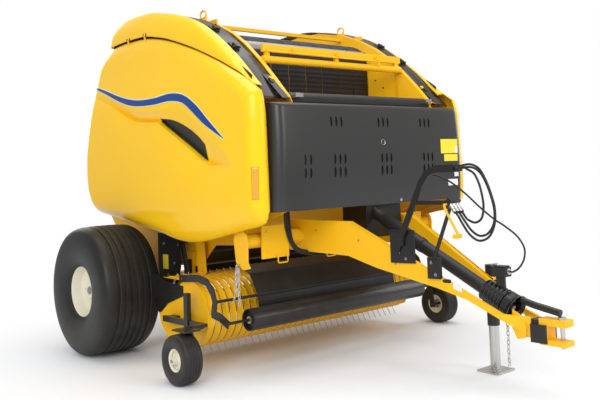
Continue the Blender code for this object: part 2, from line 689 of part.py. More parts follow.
BELOW_GILL = (0.12, 0.35, 0.65)    # and between its lower edge and the first straight row below


def between(table, x):
    """The rest of a table's row at x, on straight lines between its rows."""
    rows = sorted(table)
    x = min(max(x, rows[0][0]), rows[-1][0])
    for low, high in zip(rows, rows[1:]):
        if x <= high[0]:
            t = (x - low[0]) / (high[0] - low[0])
            return [a + (b - a) * t for a, b in zip(low[1:], high[1:])]
    return list(rows[-1][1:])


def gill_lines(y):
    """Heights and depths of the shield's lines at a place along the machine, from the top down."""
    brow, sill = between(GILL, y)
    along = min(1.0, max(0.0, (0.60 - y) / 1.15)) * min(1.0, max(0.0, (y + 2.10) / 0.45))
    depth = GILL_DEPTH * (0.15 + 0.85 * along)
    top, low = 2.44, 1.33
    lip = sill - GILL_LIP
    lines = [(z, 0.0) for z in (2.735, 2.70, 2.62, top)]
    lines += [(top - (top - brow) * t, 0.0) for t in ABOVE_GILL]
    lines += [(brow, 0.0), (sill, depth), (lip, 0.5 * depth)]
    lines += [(lip - (lip - low) * t, 0.5 * depth * (1 - t) ** 2) for t in BELOW_GILL]
    return lines + [(z, 0.0) for z in (low, 1.27, 1.24, 1.20, 1.14, 1.09, 1.045)]


def build_shields():
    steps = (0.0, 0.008, 0.03, 0.07, 0.16, 0.26, 0.36, 0.46, 0.56, 0.66, 0.76, 0.86, 0.93, 0.97, 0.992, 1.0)
    columns = []
    for u in steps:
        near = min(u, 1 - u) / 0.16
        round_off = math.sqrt(max(0.0, 1 - (1 - min(near, 1.0)) ** 2))
        guess = -2.10 + 2.65 * u
        column = []
        for z, depth in gill_lines(guess):
            front, rear, wide = between(SHIELD_ROWS, z)
            out = wide - SHIELD_EDGE_X - depth
            column.append((SHIELD_EDGE_X + out * round_off, front + (rear - front) * u, z))
        columns.append(column)
    grid = [list(row) for row in zip(*columns)]
    ears, holes = [], []
    for y in SHIELD_HINGES:
        ears.append(box((SHIELD_PIVOT_X - 0.005, SHIELD_PIVOT_X + 0.005), (y - 0.009, y + 0.009),
                        (SHIELD_PIVOT_Z - 0.045, SHIELD_PIVOT_Z)))
        ears.append(rod((SHIELD_PIVOT_X, y - 0.009, SHIELD_PIVOT_Z), (SHIELD_PIVOT_X, y + 0.009, SHIELD_PIVOT_Z),
                        0.011, 12))
        holes.append(rod((SHIELD_PIVOT_X, y - 0.02, SHIELD_PIVOT_Z), (SHIELD_PIVOT_X, y + 0.02, SHIELD_PIVOT_Z),
                         SHIELD_PIN_R + PIN_PLAY, 12))
    for side, sign in SIDES.items():
        part(f"side_shield_{side}", f"shield_{side}", "shield_yellow", [shell(grid, SHIELD_T)] + ears, holes,
             side=sign)


# Axle, cross tube, tongue and hitch.

def build_axle():
    beam = box((-0.99, 0.99), (-0.07, 0.07), (TYRE_R - 0.06, TYRE_R + 0.06))
    spindles = [tube_x(sign * 0.98, sign * (WHEEL_X + 0.10), 0, TYRE_R, SPINDLE_R, 18) for sign in (-1, 1)]
    brackets = [plate([(-0.34, 0.96), (-0.30, 0.60), (-0.08, TYRE_R - 0.06), (0.07, TYRE_R - 0.06), (0.07, 0.66),
                       (-0.02, 0.72), (-0.02, 0.96)],
                      sign * (WALL_OUT + SEAT), sign * (WALL_OUT + 0.02)) for sign in (-1, 1)]
    part("axle_beam", "chassis", "yellow", [beam] + spindles + brackets)


def rail_middle(y):
    """A tongue rail's middle and half its width, as x, at a place along the machine."""
    t = (y - RAIL_ROOT[1]) / (RAIL_TIP[1] - RAIL_ROOT[1])
    return RAIL_ROOT[0] + (RAIL_TIP[0] - RAIL_ROOT[0]) * t, (RAIL_ROOT_W + (RAIL_TIP_W - RAIL_ROOT_W) * t) / 2


def build_tongue():
    rows = [
        # y, top, bottom
        (RAIL_ROOT[1], 1.140, 0.900), (-2.20, 1.125, 0.865), (-2.45, 1.020, 0.785), (-2.95, 0.812, 0.664),
        (-3.18, 0.712, 0.595), (RAIL_TIP[1], 0.600, 0.470),
    ]
    rails = []
    for sign in (-1, 1):
        rings = []
        for y, top, low in rows:
            x, half = rail_middle(y)
            rings.append((x, half, y, top, low))
        rings.append((NOSE_X - RAIL_TIP_W / 2, RAIL_TIP_W / 2, NOSE_Y, 0.500, 0.365))
        rails.append(loft([[(sign * (x - half), y, low), (sign * (x + half), y, low),
                            (sign * (x + half), y, top), (sign * (x - half), y, top)]
                           for x, half, y, top, low in rings]))
    nose = box((-NOSE_X, NOSE_X), (NOSE_Y, NOSE_Y + 0.05), (0.365, 0.50))
    x, half = rail_middle(JACK_Y)
    jack_lugs = [box((x, JACK_X + JACK_R + 0.02), (JACK_Y - 0.06, JACK_Y + 0.06), (z, z + 0.012))
                 for z in (0.64, 0.72)]
    holes = [tube_x(-1, 1, CROSS_Y, CROSS_Z, CROSS_R + SEAT, 20),
             rod((JACK_X, JACK_Y, 0.5), (JACK_X, JACK_Y, 0.9), JACK_R + SEAT, 20)]
    part("tongue", "chassis", "yellow", rails + [nose] + jack_lugs, holes)


def build_cross_tube():
    tube = tube_x(-HOOK_X - 0.005, HOOK_X + 0.005, CROSS_Y, CROSS_Z, CROSS_R, 20)
    wings = []
    for sign in (-1, 1):
        wings.append(plate([(-1.79, 1.11), (-1.79, 0.97), (-1.50, 0.97), (-1.50, 1.11)],
                           sign * (WALL_OUT + SEAT), sign * (WALL_OUT + 0.016)))
        wings.append(box(sorted((sign * 0.645, sign * 0.905)), (-1.80, -1.785), (0.87, 1.12)))
        wings.append(box(sorted((sign * 0.645, sign * 0.657)), (-1.79, -1.70), (0.95, 1.07)))
        wings.append(plate([*arc(CROSS_Y, CROSS_Z + 0.01, 0.085, 0, 180, 6), (-1.80, 0.86), (-1.83, 0.815),
                            (-1.75, 0.80), (-1.66, 0.85)], sign * HOOK_X, sign * (HOOK_X + 0.016)))
    part("cross_tube", "chassis", "yellow", [tube] + wings)


def loft(rings):
    """A closed solid through rings of points, all rings alike."""
    count = len(rings[0])
    points = [point for ring in rings for point in ring]
    faces = [
        (i * count + j, i * count + (j + 1) % count, (i + 1) * count + (j + 1) % count, (i + 1) * count + j)
        for i in range(len(rings) - 1) for j in range(count)
    ]
    faces.append(tuple(range(count)))
    faces.append(tuple((len(rings) - 1) * count + j for j in range(count)))

    def build(shape):
        verts = [shape.verts.new(point) for point in points]
        for face in faces:
            shape.faces.new([verts[k] for k in face])
    return mesh_from(build)


def build_hitch():
    part("hitch_clevis", "chassis", "yellow", [
        box((-0.05, 0.05), (CLEVIS_Y - 0.06, CLEVIS_Y), (0.33, 0.50)),
        box((-0.05, 0.05), (FRONT_Y, CLEVIS_Y), (0.455, 0.50)),
        box((-0.05, 0.05), (FRONT_Y, CLEVIS_Y), (0.33, 0.365)),
    ], [rod((0, HITCH_Y, 0.28), (0, HITCH_Y, 0.55), 0.016 + PIN_PLAY)])
    part("hitch_pin", "chassis", "steel", [rod((0, HITCH_Y, 0.31), (0, HITCH_Y, 0.515), 0.016),
                                           rod((0, HITCH_Y, 0.50 + SEAT), (0, HITCH_Y, 0.515), 0.028)])
    cheeks = [box(sorted((sign * (NOSE_X + SEAT), sign * (NOSE_X + 0.016))), (CLEVIS_Y - 0.06, NOSE_Y - SEAT),
                  (0.34, 0.46)) for sign in (-1, 1)]
    block = box((-NOSE_X - 0.002, NOSE_X + 0.002), (CLEVIS_Y + SEAT, NOSE_Y - SEAT), (0.36, 0.49))
    part("hitch_block", "chassis", "black", [block] + cheeks)


def build_jack():
    outer = rod((JACK_X, JACK_Y, 0.335), (JACK_X, JACK_Y, 0.78), JACK_R, 20)
    bore = rod((JACK_X, JACK_Y, 0.10), (JACK_X, JACK_Y, 0.74), JACK_LEG_R + PIN_PLAY, 20)
    part("jack_tube", "chassis", "black", [outer], [bore])
    leg = rod((JACK_X, JACK_Y, 0.012), (JACK_X, JACK_Y, 0.43), JACK_LEG_R, 20)
    foot = box((JACK_X - 0.10, JACK_X + 0.10), (JACK_Y - 0.10, JACK_Y + 0.10), (0.0, 0.015))
    part("jack_leg", "jack_leg", "steel", [leg, foot])


def build_rams():
    """Barrels that turn on the walls and rods that slide in them."""
    foot, head = Vector((RAM_X, *RAM_FOOT)), Vector((RAM_X, *RAM_HEAD))
    along = (head - foot).normalized()
    start, mouth = foot + along * 0.03, head - along * 0.12
    for side, sign in SIDES.items():
        eye = tube_x(RAM_X - 0.022, RAM_X + 0.022, *RAM_FOOT, RAM_PIN_R + 0.016, 16)
        barrel = rod(start, mouth, RAM_R, 18)
        pin_hole = tube_x(RAM_X - 0.05, RAM_X + 0.05, *RAM_FOOT, RAM_PIN_R + PIN_PLAY, 16)
        bore = rod(start + along * 0.06, mouth + along * 0.05, RAM_ROD_R + PIN_PLAY, 18)
        part(f"ram_barrel_{side}", f"ram_{side}", "black", [barrel, eye], [pin_hole, bore], side=sign)
        stem = rod(start + along * 0.07, head - along * 0.02, RAM_ROD_R, 16)
        end = tube_x(RAM_X - 0.022, RAM_X + 0.022, *RAM_HEAD, RAM_PIN_R + 0.016, 16)
        part(f"ram_rod_{side}", f"ram_rod_{side}", "steel", [stem, end], side=sign)


def build_driveline():
    """Gearbox, shaft guard tube and bell, one behind the other on the shaft's line."""
    def on_shaft(t):
        return Vector(SHAFT_REAR).lerp(Vector(SHAFT_FRONT), t)

    slack = SEAT / (Vector(SHAFT_FRONT) - Vector(SHAFT_REAR)).length
    part("gearbox", "chassis", "black", [
        box((-0.10, 0.30), (-2.12, -1.84), (0.97, 1.23)),
        box((-0.05, 0.25), (-1.86, CROSS_Y + 0.06), (CROSS_Z + CROSS_R + SEAT, CROSS_Z + CROSS_R + 0.02)),
        rod(on_shaft(-0.15), on_shaft(-slack), 0.045, 20),
    ])
    part("pto_tube", "chassis", "black", [rod(on_shaft(0), on_shaft(0.80), 0.052, 20)])
    start = on_shaft(0.80 + slack)
    length = (on_shaft(1.0) - start).length
    pitch = 0.70 * length / BELL_RIBS

    def radius(at):
        return BELL_BACK_R + (BELL_R - BELL_BACK_R) * at / length

    outer = []
    for k in range(BELL_RIBS):
        outer.append((k * pitch, radius(k * pitch)))
        outer.append(((k + 0.5) * pitch, radius((k + 0.5) * pitch) + RIB_H))
    outer += [(0.70 * length, radius(0.70 * length)), (0.90 * length, radius(0.90 * length)), (length, BELL_R + RIB_H)]
    inner = [(length, BELL_R + RIB_H - BELL_WALL), (0.88 * length, radius(0.88 * length) - BELL_WALL),
             (0.15 * length, radius(0.15 * length) - BELL_WALL), (0.15 * length, 0.0)]
    aim = (on_shaft(1.0) - start).to_track_quat("Z", "Y").to_matrix().to_4x4()
    bell = turned([(0.0, 0.0)] + outer + inner, Matrix.Translation(start) @ aim, 20)
    stub = box((-0.012, 0.012), (BOX_Y[0] + 0.03, BOX_Y[1] - 0.02), (0.615, BOX_Z[0] + 0.002))
    part("pto_bell", "chassis", "black", [bell, stub, box((-0.038, 0.038), BOX_Y, BOX_Z)])


# Hoses.

def rail_pad(y0, y1, z0, z1, thickness):
    """A plate on the outer face of the right-hand rail."""
    rings = []
    for y in (y0, y1):
        x, half = rail_middle(y)
        face = -(x + half + SEAT)
        rings.append([(face, y, z0), (face - thickness, y, z0), (face - thickness, y, z1), (face, y, z1)])
    return loft(rings)


def build_hose_bracket():
    """The arm that parks the hoses: a foot on the rail, an arm with a clamp, and couplers in a rack."""
    x0, x1 = BRACKET_X
    foot = rail_pad(*BRACKET_Y, 0.83, 1.07, 0.014)
    spacer = box((x0, -0.285), (-2.72, -2.62), (0.955, 1.06))
    arm = strap([(-2.64, 0.90), (-2.68, 0.99), (-2.827, 1.252), (-2.905, 1.40), (-2.97, 1.478), (-3.06, 1.508), CLAMP],
                0.052, x0, x1)
    clamp_y, clamp_z = CLAMP
    clamp = box((HOSE_X - HOSE_PITCH - 0.018, HOSE_X + HOSE_PITCH + 0.018), (clamp_y - 0.02, clamp_y + 0.02),
                (clamp_z - 0.022, clamp_z + 0.022))
    link = strap([(-2.84, 1.27), (COUPLER_BACK[0] + 0.02, COUPLER_BACK[1] - 0.02)], 0.030, x0, x1)
    rack_y, rack_z = COUPLER_BACK
    rack = box((HOSE_X - HOSE_PITCH - 0.02, HOSE_X + HOSE_PITCH + 0.02), (rack_y - 0.03, rack_y + 0.01),
               (rack_z - 0.055, rack_z + 0.012), 38)
    couplers = [rod((x, *COUPLER_BACK), (x, *COUPLER_TIP), COUPLER_R, 12) for x in hose_places()]
    stay = rod((-0.256, -2.94, 0.84), (HOSE_X, rack_y, rack_z - 0.03), 0.014, 10)
    stay_pad = rail_pad(-3.00, -2.90, 0.73, 0.88, 0.024)
    part("hose_bracket", "chassis", "black", [foot, spacer, arm, clamp, link, rack, stay, stay_pad] + couplers)
    crank = wire([(HOSE_X - HOSE_PITCH - 0.02 - SEAT, -3.168, 1.262), (HOSE_X - 0.080, -3.168, 1.262),
                  (HOSE_X - 0.095, -3.185, 1.235), (HOSE_X - 0.095, -3.300, 1.050)], 0.009, 1)
    knob = rod((HOSE_X - 0.080, -3.300, 1.055), (HOSE_X - 0.150, -3.300, 1.055), 0.015, 12)
    part("crank_handle", "chassis", "yellow", [crank, knob])


def hose_places():
    """The x of each hose in the clamp and the rack."""
    return [HOSE_X + k * HOSE_PITCH for k in (-1, 0, 1)]


HOSE_ROUTES = {
    # hose: (bulge sideways, (y, z) points between the clamp and the coupler)
    "hose_right": (-0.020, ((-3.300, 1.524), (-3.385, 1.530), (-3.455, 1.500), (-3.505, 1.430), (-3.545, 1.340),
                            (-3.572, 1.240), (-3.565, 1.140), (-3.515, 1.055), (-3.430, 1.025), (-3.350, 1.062),
                            (-3.290, 1.130))),
    "hose_middle": (0.004, ((-3.295, 1.512), (-3.365, 1.508), (-3.425, 1.472), (-3.470, 1.400), (-3.505, 1.310),
                            (-3.525, 1.220), (-3.515, 1.135), (-3.465, 1.070), (-3.395, 1.052), (-3.330, 1.085),
                            (-3.280, 1.142))),
    "hose_left": (0.022, ((-3.280, 1.500), (-3.335, 1.468), (-3.370, 1.400), (-3.390, 1.320), (-3.398, 1.240),
                          (-3.380, 1.165), (-3.330, 1.135), (-3.275, 1.152))),
}
CABLE_ROUTE = (
    (-0.268, -3.200, 1.380), (-0.233, -3.265, 1.314), (-0.200, -3.335, 1.237), (-0.167, -3.426, 1.155),
    (-0.133, -3.485, 1.107), (-0.100, -3.557, 1.040), (-0.067, -3.588, 0.960), (-0.036, -3.560, 0.880),
    (-0.012, -3.500, 0.815),
)


def build_hoses():
    """The parked hoses and the cable, each a plain tube on a smooth curve."""
    for x, (name, (bulge, route)) in zip(hose_places(), HOSE_ROUTES.items()):
        down = (Vector(COUPLER_TIP) - Vector(COUPLER_BACK)).normalized()
        end = Vector(COUPLER_TIP) + down * SEAT
        points = [(x, CLAMP[0] - 0.02 - SEAT - d, CLAMP[1]) for d in (0.0, 0.02, 0.04)]
        points += [(x + bulge * math.sin(math.pi * (k + 1) / (len(route) + 1)), y, z) for k, (y, z) in enumerate(route)]
        points += [(x, *(end + down * d)) for d in (0.04, 0.02, 0.0)]
        part(name, "chassis", "black", [wire(smooth_path(points, 2), HOSE_R)])
    plug_z = (BOX_Z[0] + BOX_Z[1]) / 2
    points = [(BRACKET_X[1] + SEAT + d, -2.985, 1.470) for d in (0.0, 0.012, 0.024)]
    points += [(-0.270, -3.040, 1.455), (-0.268, -3.120, 1.425), *CABLE_ROUTE]
    points += [(0.0, BOX_Y[0] - SEAT - d, plug_z) for d in (0.04, 0.02, 0.0)]
    part("cable", "chassis", "black", [wire(smooth_path(points, 2), CABLE_R)])


# Drive plates and gauge wheel arms.

def build_drive_plates():
    """Black plates that stand off the chamber walls, each with a bearing boss."""
    outline = [(-0.25, 1.02), (-0.61, 1.02), (-0.62, 0.74), (-0.56, 0.56), (-0.44, 0.43), (-0.30, 0.40), (-0.25, 0.45)]
    y, z = DRIVE_HUB
    for side, sign in SIDES.items():
        studs = [tube_x(WALL_OUT + SEAT, DRIVE_X + 0.002, sy, 0.95, 0.018, 12) for sy in (-0.36, -0.55)]
        boss = tube_x(DRIVE_X, DRIVE_X + DRIVE_T + 0.022, y, z, 0.060, 20)
        part(f"drive_plate_{side}", "chassis", "black", [plate(outline, DRIVE_X, DRIVE_X + DRIVE_T), boss] + studs,
             side=sign)


def build_gauge_arms():
    """An arm at each end of the pick-up: bar, height adjuster, crown over the wheel, leg and spindle."""
    face = PLATE_X + PLATE_T + SEAT
    leg = strap([(ARM_Y[0] - 0.02, 0.40), (-1.49, 0.30), (GAUGE_Y, GAUGE_R - 0.03)], 0.055, LEG_X, LEG_X + LEG_T)
    solids = [
        box((ARM_X, ARM_X + ARM_T), ARM_Y, ARM_Z),
        box((face, ARM_X + 0.01), (-1.00, -0.90), ARM_Z),
        box((ARM_X + 0.004, ARM_X + ARM_T + 0.010), (-1.262, -1.210), (0.29, 0.61)),
        box((ARM_X, LEG_X + LEG_T), (ARM_Y[0] - 0.055, ARM_Y[0] + 0.002), (0.375, ARM_Z[1])),
        leg,
        box((LEG_X, GAUGE_X + 0.03), (-1.60, -1.42), (2 * GAUGE_R + 0.014, 2 * GAUGE_R + 0.026)),
        tube_x(LEG_X + 0.004, GAUGE_X + 0.04, GAUGE_Y, GAUGE_R, GAUGE_PIN_R, 12),
    ]
    for side, sign in SIDES.items():
        part(f"gauge_arm_{side}", "pickup", "black", solids, side=sign)


# Pick-up.

def band_path():
    """The stripper bands from their upper rear end, round the front, to their lower rear end."""
    top = REEL_Z + BAND_R
    low = REEL_Z - BAND_R
    front = arc(REEL_Y, REEL_Z, BAND_R, 90, 270, 6)
    return [(-0.74, top + 0.005), (-0.86, top + 0.003)] + front + [(-0.86, low + 0.01), (-0.76, low + 0.04)]


def build_strippers():
    pitch = (2 * BAND_HALF + SLIT_W) / BAND_COUNT
    path = band_path()
    xs = []
    for i in range(BAND_COUNT):
        x0 = -BAND_HALF + i * pitch
        xs.extend([x0, x0 + pitch - SLIT_W])
    mesh = bpy.data.meshes.new("bands")
    points = [(x, y, z) for y, z in path for x in xs]
    across = len(xs)
    faces = []
    for i in range(len(path) - 1):
        for j in range(across - 1):
            slit = j % 2 == 1
            if slit and 0 < i < len(path) - 2:
                continue
            faces.append((i * across + j, i * across + j + 1, (i + 1) * across + j + 1, (i + 1) * across + j))
    mesh.from_pydata(points, [], faces)
    thing = bpy.data.objects.new("bands", mesh)
    SHOP.objects.link(thing)
    solid = thing.modifiers.new("Thickness", "SOLIDIFY")
    solid.thickness = BAND_T
    solid.offset = 0.0
    part("stripper_bands", "pickup", "yellow", [from_object(thing)])


def build_pickup():
    outline = [(-0.62, 0.66), (-0.66, 0.70), (-0.80, 0.74), (-1.02, 0.72), (-1.22, 0.68), (-1.36, 0.60),
               (-1.41, 0.46), (-1.40, 0.33), (-1.32, 0.21), (-1.15, 0.16), (-0.86, 0.16), (-0.70, 0.30),
               (-0.62, 0.50)]
    solids = []
    for sign in (-1, 1):
        solids.append(plate(outline, sign * PLATE_X, sign * (PLATE_X + PLATE_T)))
    tube = tube_x(-PLATE_X - 0.002, PLATE_X + 0.002, REAR_TUBE_Y, REAR_TUBE_Z, REAR_TUBE_R, 16)
    holes = [tube_x(sign * (PLATE_X - 0.01), sign * (PLATE_X + PLATE_T + 0.01), REEL_Y, REEL_Z, SHAFT_R + PIN_PLAY, 16)
             for sign in (-1, 1)]
    lugs = [plate([(-0.68, 0.40), (-0.74, 0.48), (LIFT_Y - 0.05, LIFT_Z + 0.02), (LIFT_Y, LIFT_Z + 0.05),
                   (LIFT_Y + 0.05, LIFT_Z), (-0.66, 0.44)], sign * 0.860, sign * 0.880) for sign in (-1, 1)]
    lug_holes = [tube_x(sign * 0.85, sign * 0.89, LIFT_Y, LIFT_Z, LIFT_R + PIN_PLAY, 16) for sign in (-1, 1)]
    guard_pins = [tube_x(sign * (PLATE_X + PLATE_T - 0.002), sign * (PLATE_X + PLATE_T + RUN + 0.018),
                         GUARD_HINGE_Y, GUARD_HINGE_Z, GUARD_PIN_R, 14) for sign in (-1, 1)]
    part("pickup_frame", "pickup", "yellow", solids + [tube] + lugs + guard_pins, holes + lug_holes)
    build_strippers()
    # The frame's lift pins stand on brackets under the chamber.
    pins = []
    for sign in (-1, 1):
        pins.append(plate([(LIFT_Y - 0.06, LIFT_Z - 0.05), (LIFT_Y + 0.06, LIFT_Z - 0.05), (LIFT_Y + 0.10, 0.86),
                           (LIFT_Y - 0.10, 0.86)], sign * (WALL_OUT + SEAT), sign * (WALL_OUT + 0.02)))
        pins.append(tube_x(sign * (WALL_OUT + 0.01), sign * 0.895, LIFT_Y, LIFT_Z, LIFT_R, 16))
    for side, pair in (("right", pins[:2]), ("left", pins[2:])):
        part(f"lift_bracket_{side}", "chassis", "yellow", pair)


def build_reel():
    reach = PLATE_X + PLATE_T + 0.03
    shaft = tube_x(-reach, reach, REEL_Y, REEL_Z, SHAFT_R, 12)
    discs = [tube_x(x - 0.004, x + 0.004, REEL_Y, REEL_Z, 0.17, 20) for x in (-1.10, 0.0, 1.10)]
    bars, tines = [], []
    pitch = (2 * BAND_HALF + SLIT_W) / BAND_COUNT
    slits = [-BAND_HALF + (i + 1) * pitch - SLIT_W / 2 for i in range(BAND_COUNT - 1)]
    for k in range(BAR_COUNT):
        angle = math.radians(REEL_ANGLE + 360 * k / BAR_COUNT)
        y, z = REEL_Y + 0.15 * math.cos(angle), REEL_Z + 0.15 * math.sin(angle)
        bars.append(tube_x(-1.10, 1.10, y, z, 0.016, 8))
        tip = (REEL_Y + TINE_R * math.cos(angle), REEL_Z + TINE_R * math.sin(angle))
        tines.extend(rod((x, y, z), (x, *tip), 0.0035, 3) for x in slits)
    comb = bmesh.new()
    for tine in tines:
        comb.from_mesh(tine)
    comb_mesh = bpy.data.meshes.new("comb")
    comb.to_mesh(comb_mesh)
    comb.free()
    part("tine_reel", "reel", "steel", [shaft] + discs + bars + [comb_mesh])


def build_wind_guard():
    half = ROLLER_HALF
    arm_in = PLATE_X + PLATE_T + RUN
    arm_out = arm_in + 0.012
    roller = tube_x(-half, half, ROLLER_Y, ROLLER_Z, ROLLER_R, 24)
    bore = tube_x(-half - 0.01, half + 0.01, ROLLER_Y, ROLLER_Z, GUARD_ROD_R + PIN_PLAY, 12)
    part("guard_roller", "guard_roller", "black", [roller], [bore])
    axle = tube_x(-arm_out, arm_out, ROLLER_Y, ROLLER_Z, GUARD_ROD_R, 12)
    tie = tube_x(-arm_out, arm_out, GUARD_ROD_Y, GUARD_ROD_Z, GUARD_ROD_R, 12)
    arch = [(GUARD_HINGE_Y + 0.03, GUARD_HINGE_Z), (GUARD_HINGE_Y - 0.03, GUARD_HINGE_Z + 0.005), (-1.30, 0.722),
            (-1.42, 0.700), (-1.495, 0.640), (GUARD_ROD_Y + 0.01, GUARD_ROD_Z), (-1.505, 0.450)]
    fork = [(-1.490, 0.468), (-1.60, 0.450), (ROLLER_Y - 0.028, ROLLER_Z - 0.005)]
    arms = [strap(path, width, *sorted((sign * arm_in, sign * arm_out)))
            for sign in (-1, 1) for path, width in ((arch, 0.056), (fork, 0.060))]
    holes = [tube_x(sign * (arm_in - 0.01), sign * (arm_out + 0.01), GUARD_HINGE_Y, GUARD_HINGE_Z,
                    GUARD_PIN_R + PIN_PLAY, 14) for sign in (-1, 1)]
    sheet = shell([[(-SHEET_HALF, y, z), (SHEET_HALF, y, z)] for y, z in
                   ((-1.29, 0.772), (-1.44, 0.72), (-1.54, 0.56), (-1.56, 0.44))], 0.006, 0.0)
    part("wind_guard", "wind_guard", "black", arms[:2] + [tie] + arms[2:] + [axle, sheet], holes)


def main():
    build_wheels()
    build_walls()
    build_tailgate()
    build_chamber()
    build_covers()
    build_hood()
    build_shields()
    build_axle()
    build_tongue()
    build_cross_tube()
    build_hitch()
    build_jack()
    build_rams()
    build_driveline()
    build_hose_bracket()
    build_hoses()
    build_drive_plates()
    build_pickup()
    build_gauge_arms()
    build_reel()
    build_wind_guard()


main()
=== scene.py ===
"""The looks of a round baler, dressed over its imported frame.

Metres in the row frame: the hitch points to -Y, the tailgate to +Y, +X is the machine's left and +Z up.
Most places below are written aft of the main axle, and aft() turns them into the row frame.
"""

import json
import logging
import math
from dataclasses import dataclass
from enum import Enum
from typing import Callable, Iterable, Sequence

import bmesh
import bpy
import numpy as np
from mathutils import Matrix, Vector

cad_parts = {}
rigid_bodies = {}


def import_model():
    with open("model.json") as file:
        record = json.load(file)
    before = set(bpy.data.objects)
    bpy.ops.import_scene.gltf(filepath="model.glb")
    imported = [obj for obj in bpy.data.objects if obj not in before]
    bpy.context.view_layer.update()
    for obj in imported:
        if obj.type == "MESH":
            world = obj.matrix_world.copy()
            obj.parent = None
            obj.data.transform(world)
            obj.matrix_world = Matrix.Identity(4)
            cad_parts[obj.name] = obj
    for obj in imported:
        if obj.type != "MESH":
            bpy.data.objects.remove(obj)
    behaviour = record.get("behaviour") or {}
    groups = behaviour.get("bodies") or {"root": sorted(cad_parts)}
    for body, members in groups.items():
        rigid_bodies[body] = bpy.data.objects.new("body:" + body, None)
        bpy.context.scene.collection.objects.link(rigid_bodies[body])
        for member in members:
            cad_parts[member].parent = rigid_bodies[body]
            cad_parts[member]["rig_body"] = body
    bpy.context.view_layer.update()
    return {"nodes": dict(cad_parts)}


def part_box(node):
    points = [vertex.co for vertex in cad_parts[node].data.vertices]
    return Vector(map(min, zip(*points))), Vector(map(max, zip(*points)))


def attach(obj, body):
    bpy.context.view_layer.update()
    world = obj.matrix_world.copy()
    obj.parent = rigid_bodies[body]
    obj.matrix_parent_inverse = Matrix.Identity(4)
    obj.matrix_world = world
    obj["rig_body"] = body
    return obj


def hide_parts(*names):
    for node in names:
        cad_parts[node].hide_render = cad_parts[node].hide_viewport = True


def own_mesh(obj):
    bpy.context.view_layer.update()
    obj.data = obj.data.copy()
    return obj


for startup_object in list(bpy.data.objects):
    bpy.data.objects.remove(startup_object, do_unlink=True)

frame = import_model()

LOG = logging.getLogger("baler")

MM = 0.001
SMOOTH_ANGLE = math.radians(38)
BEVEL_ANGLE = math.radians(32)
LIFT = 0.0006          # a decal stands this far off what carries it
LABEL_THICK = 0.0012
HINGE_X, HINGE_Z = 1.091, 2.764     # line that a side shield turns on
HINGE_Y = (-0.42, -0.12)            # places of its hinges, aft of the axle


def box_of(node: str) -> tuple[np.ndarray, np.ndarray]:
    """Lowest and highest corner of a CAD node in the row frame."""
    low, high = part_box(node)
    return np.array(low, float), np.array(high, float)


def _middle(node: str, axis: int) -> float:
    """Middle of a CAD node along one axis of the row frame."""
    low, high = box_of(node)
    return (low[axis] + high[axis]) / 2


AXLE_Y = _middle("main_tyre_right", 1)


def aft(y: float) -> float:
    """Row-frame Y of a place given aft of the main axle."""
    return AXLE_Y + y


class Side(Enum):
    """The machine's two sides, with the sign of X."""

    RIGHT = -1
    LEFT = 1

    @property
    def word(self) -> str:
        """The side's name as the CAD nodes spell it."""
        return self.name.lower()


# Shapes.

Array = np.ndarray
Pairs = tuple[tuple[float, float], ...]
Triples = tuple[tuple[float, float, float], ...]


def vec(*numbers: float) -> Array:
    """A float array of the numbers."""
    return np.array(numbers, float)


def smooth_curve(points: Sequence[Sequence[float]], count: int) -> Array:
    """Points on a smooth curve through the given ones.

    Cubic Hermite spans over the chord length, with each knot's slope the mean of its two chords.

    Args:
        points: the knots, as rows.
        count: how many points to return, evenly spread over the chord length.

    Returns:
        An array of count rows.
    """
    knots = np.asarray(points, float)
    gaps = np.maximum(np.linalg.norm(np.diff(knots, axis=0), axis=1), 1e-9)
    at = np.concatenate([[0.0], np.cumsum(gaps)])
    slopes = np.diff(knots, axis=0) / gaps[:, None]
    tangents = np.vstack([slopes[:1], (slopes[:-1] + slopes[1:]) / 2, slopes[-1:]])
    s = np.linspace(0.0, at[-1], count)
    k = np.clip(np.searchsorted(at, s, side="right") - 1, 0, len(gaps) - 1)
    h = gaps[k][:, None]
    t = (s - at[k])[:, None] / h
    return ((2 * t ** 3 - 3 * t ** 2 + 1) * knots[k] + (t ** 3 - 2 * t ** 2 + t) * h * tangents[k]
            + (3 * t ** 2 - 2 * t ** 3) * knots[k + 1] + (t ** 3 - t ** 2) * h * tangents[k + 1])


def curve_at(points: Sequence[Sequence[float]], x: Array) -> Array:
    """Heights of a smooth curve y(x) through points sorted by x, held level past its ends."""
    dense = smooth_curve(sorted(points), 400)
    return np.interp(x, dense[:, 0], dense[:, 1])


def ease(edge0: float, edge1: float, x: Array) -> Array:
    """Smooth step: 0 before edge0, 1 after edge1, 3t^2 - 2t^3 between."""
    t = np.clip((x - edge0) / (edge1 - edge0), 0.0, 1.0)
    return t * t * (3 - 2 * t)


def distance_to_outline(y: Array, z: Array, outline: Array) -> Array:
    """Least distance from each (y, z) to a closed outline: to each edge's nearest point, kept to its ends."""
    points = np.stack([y.ravel(), z.ravel()], -1)
    best = np.full(len(points), 1e9)
    for a, b in zip(outline, np.roll(outline, -1, axis=0)):
        edge = b - a
        t = np.clip((points - a) @ edge / max(edge @ edge, 1e-12), 0.0, 1.0)
        best = np.minimum(best, np.linalg.norm(points - a - t[:, None] * edge, axis=1))
    return best.reshape(y.shape)


def normals_along(path: Array) -> Array:
    """Unit normals of a path in the side view: its direction turned a quarter."""
    ahead = np.gradient(path, axis=0)
    ahead = ahead / np.linalg.norm(ahead, axis=1)[:, None]
    return np.stack([-ahead[:, 1], ahead[:, 0]], -1)


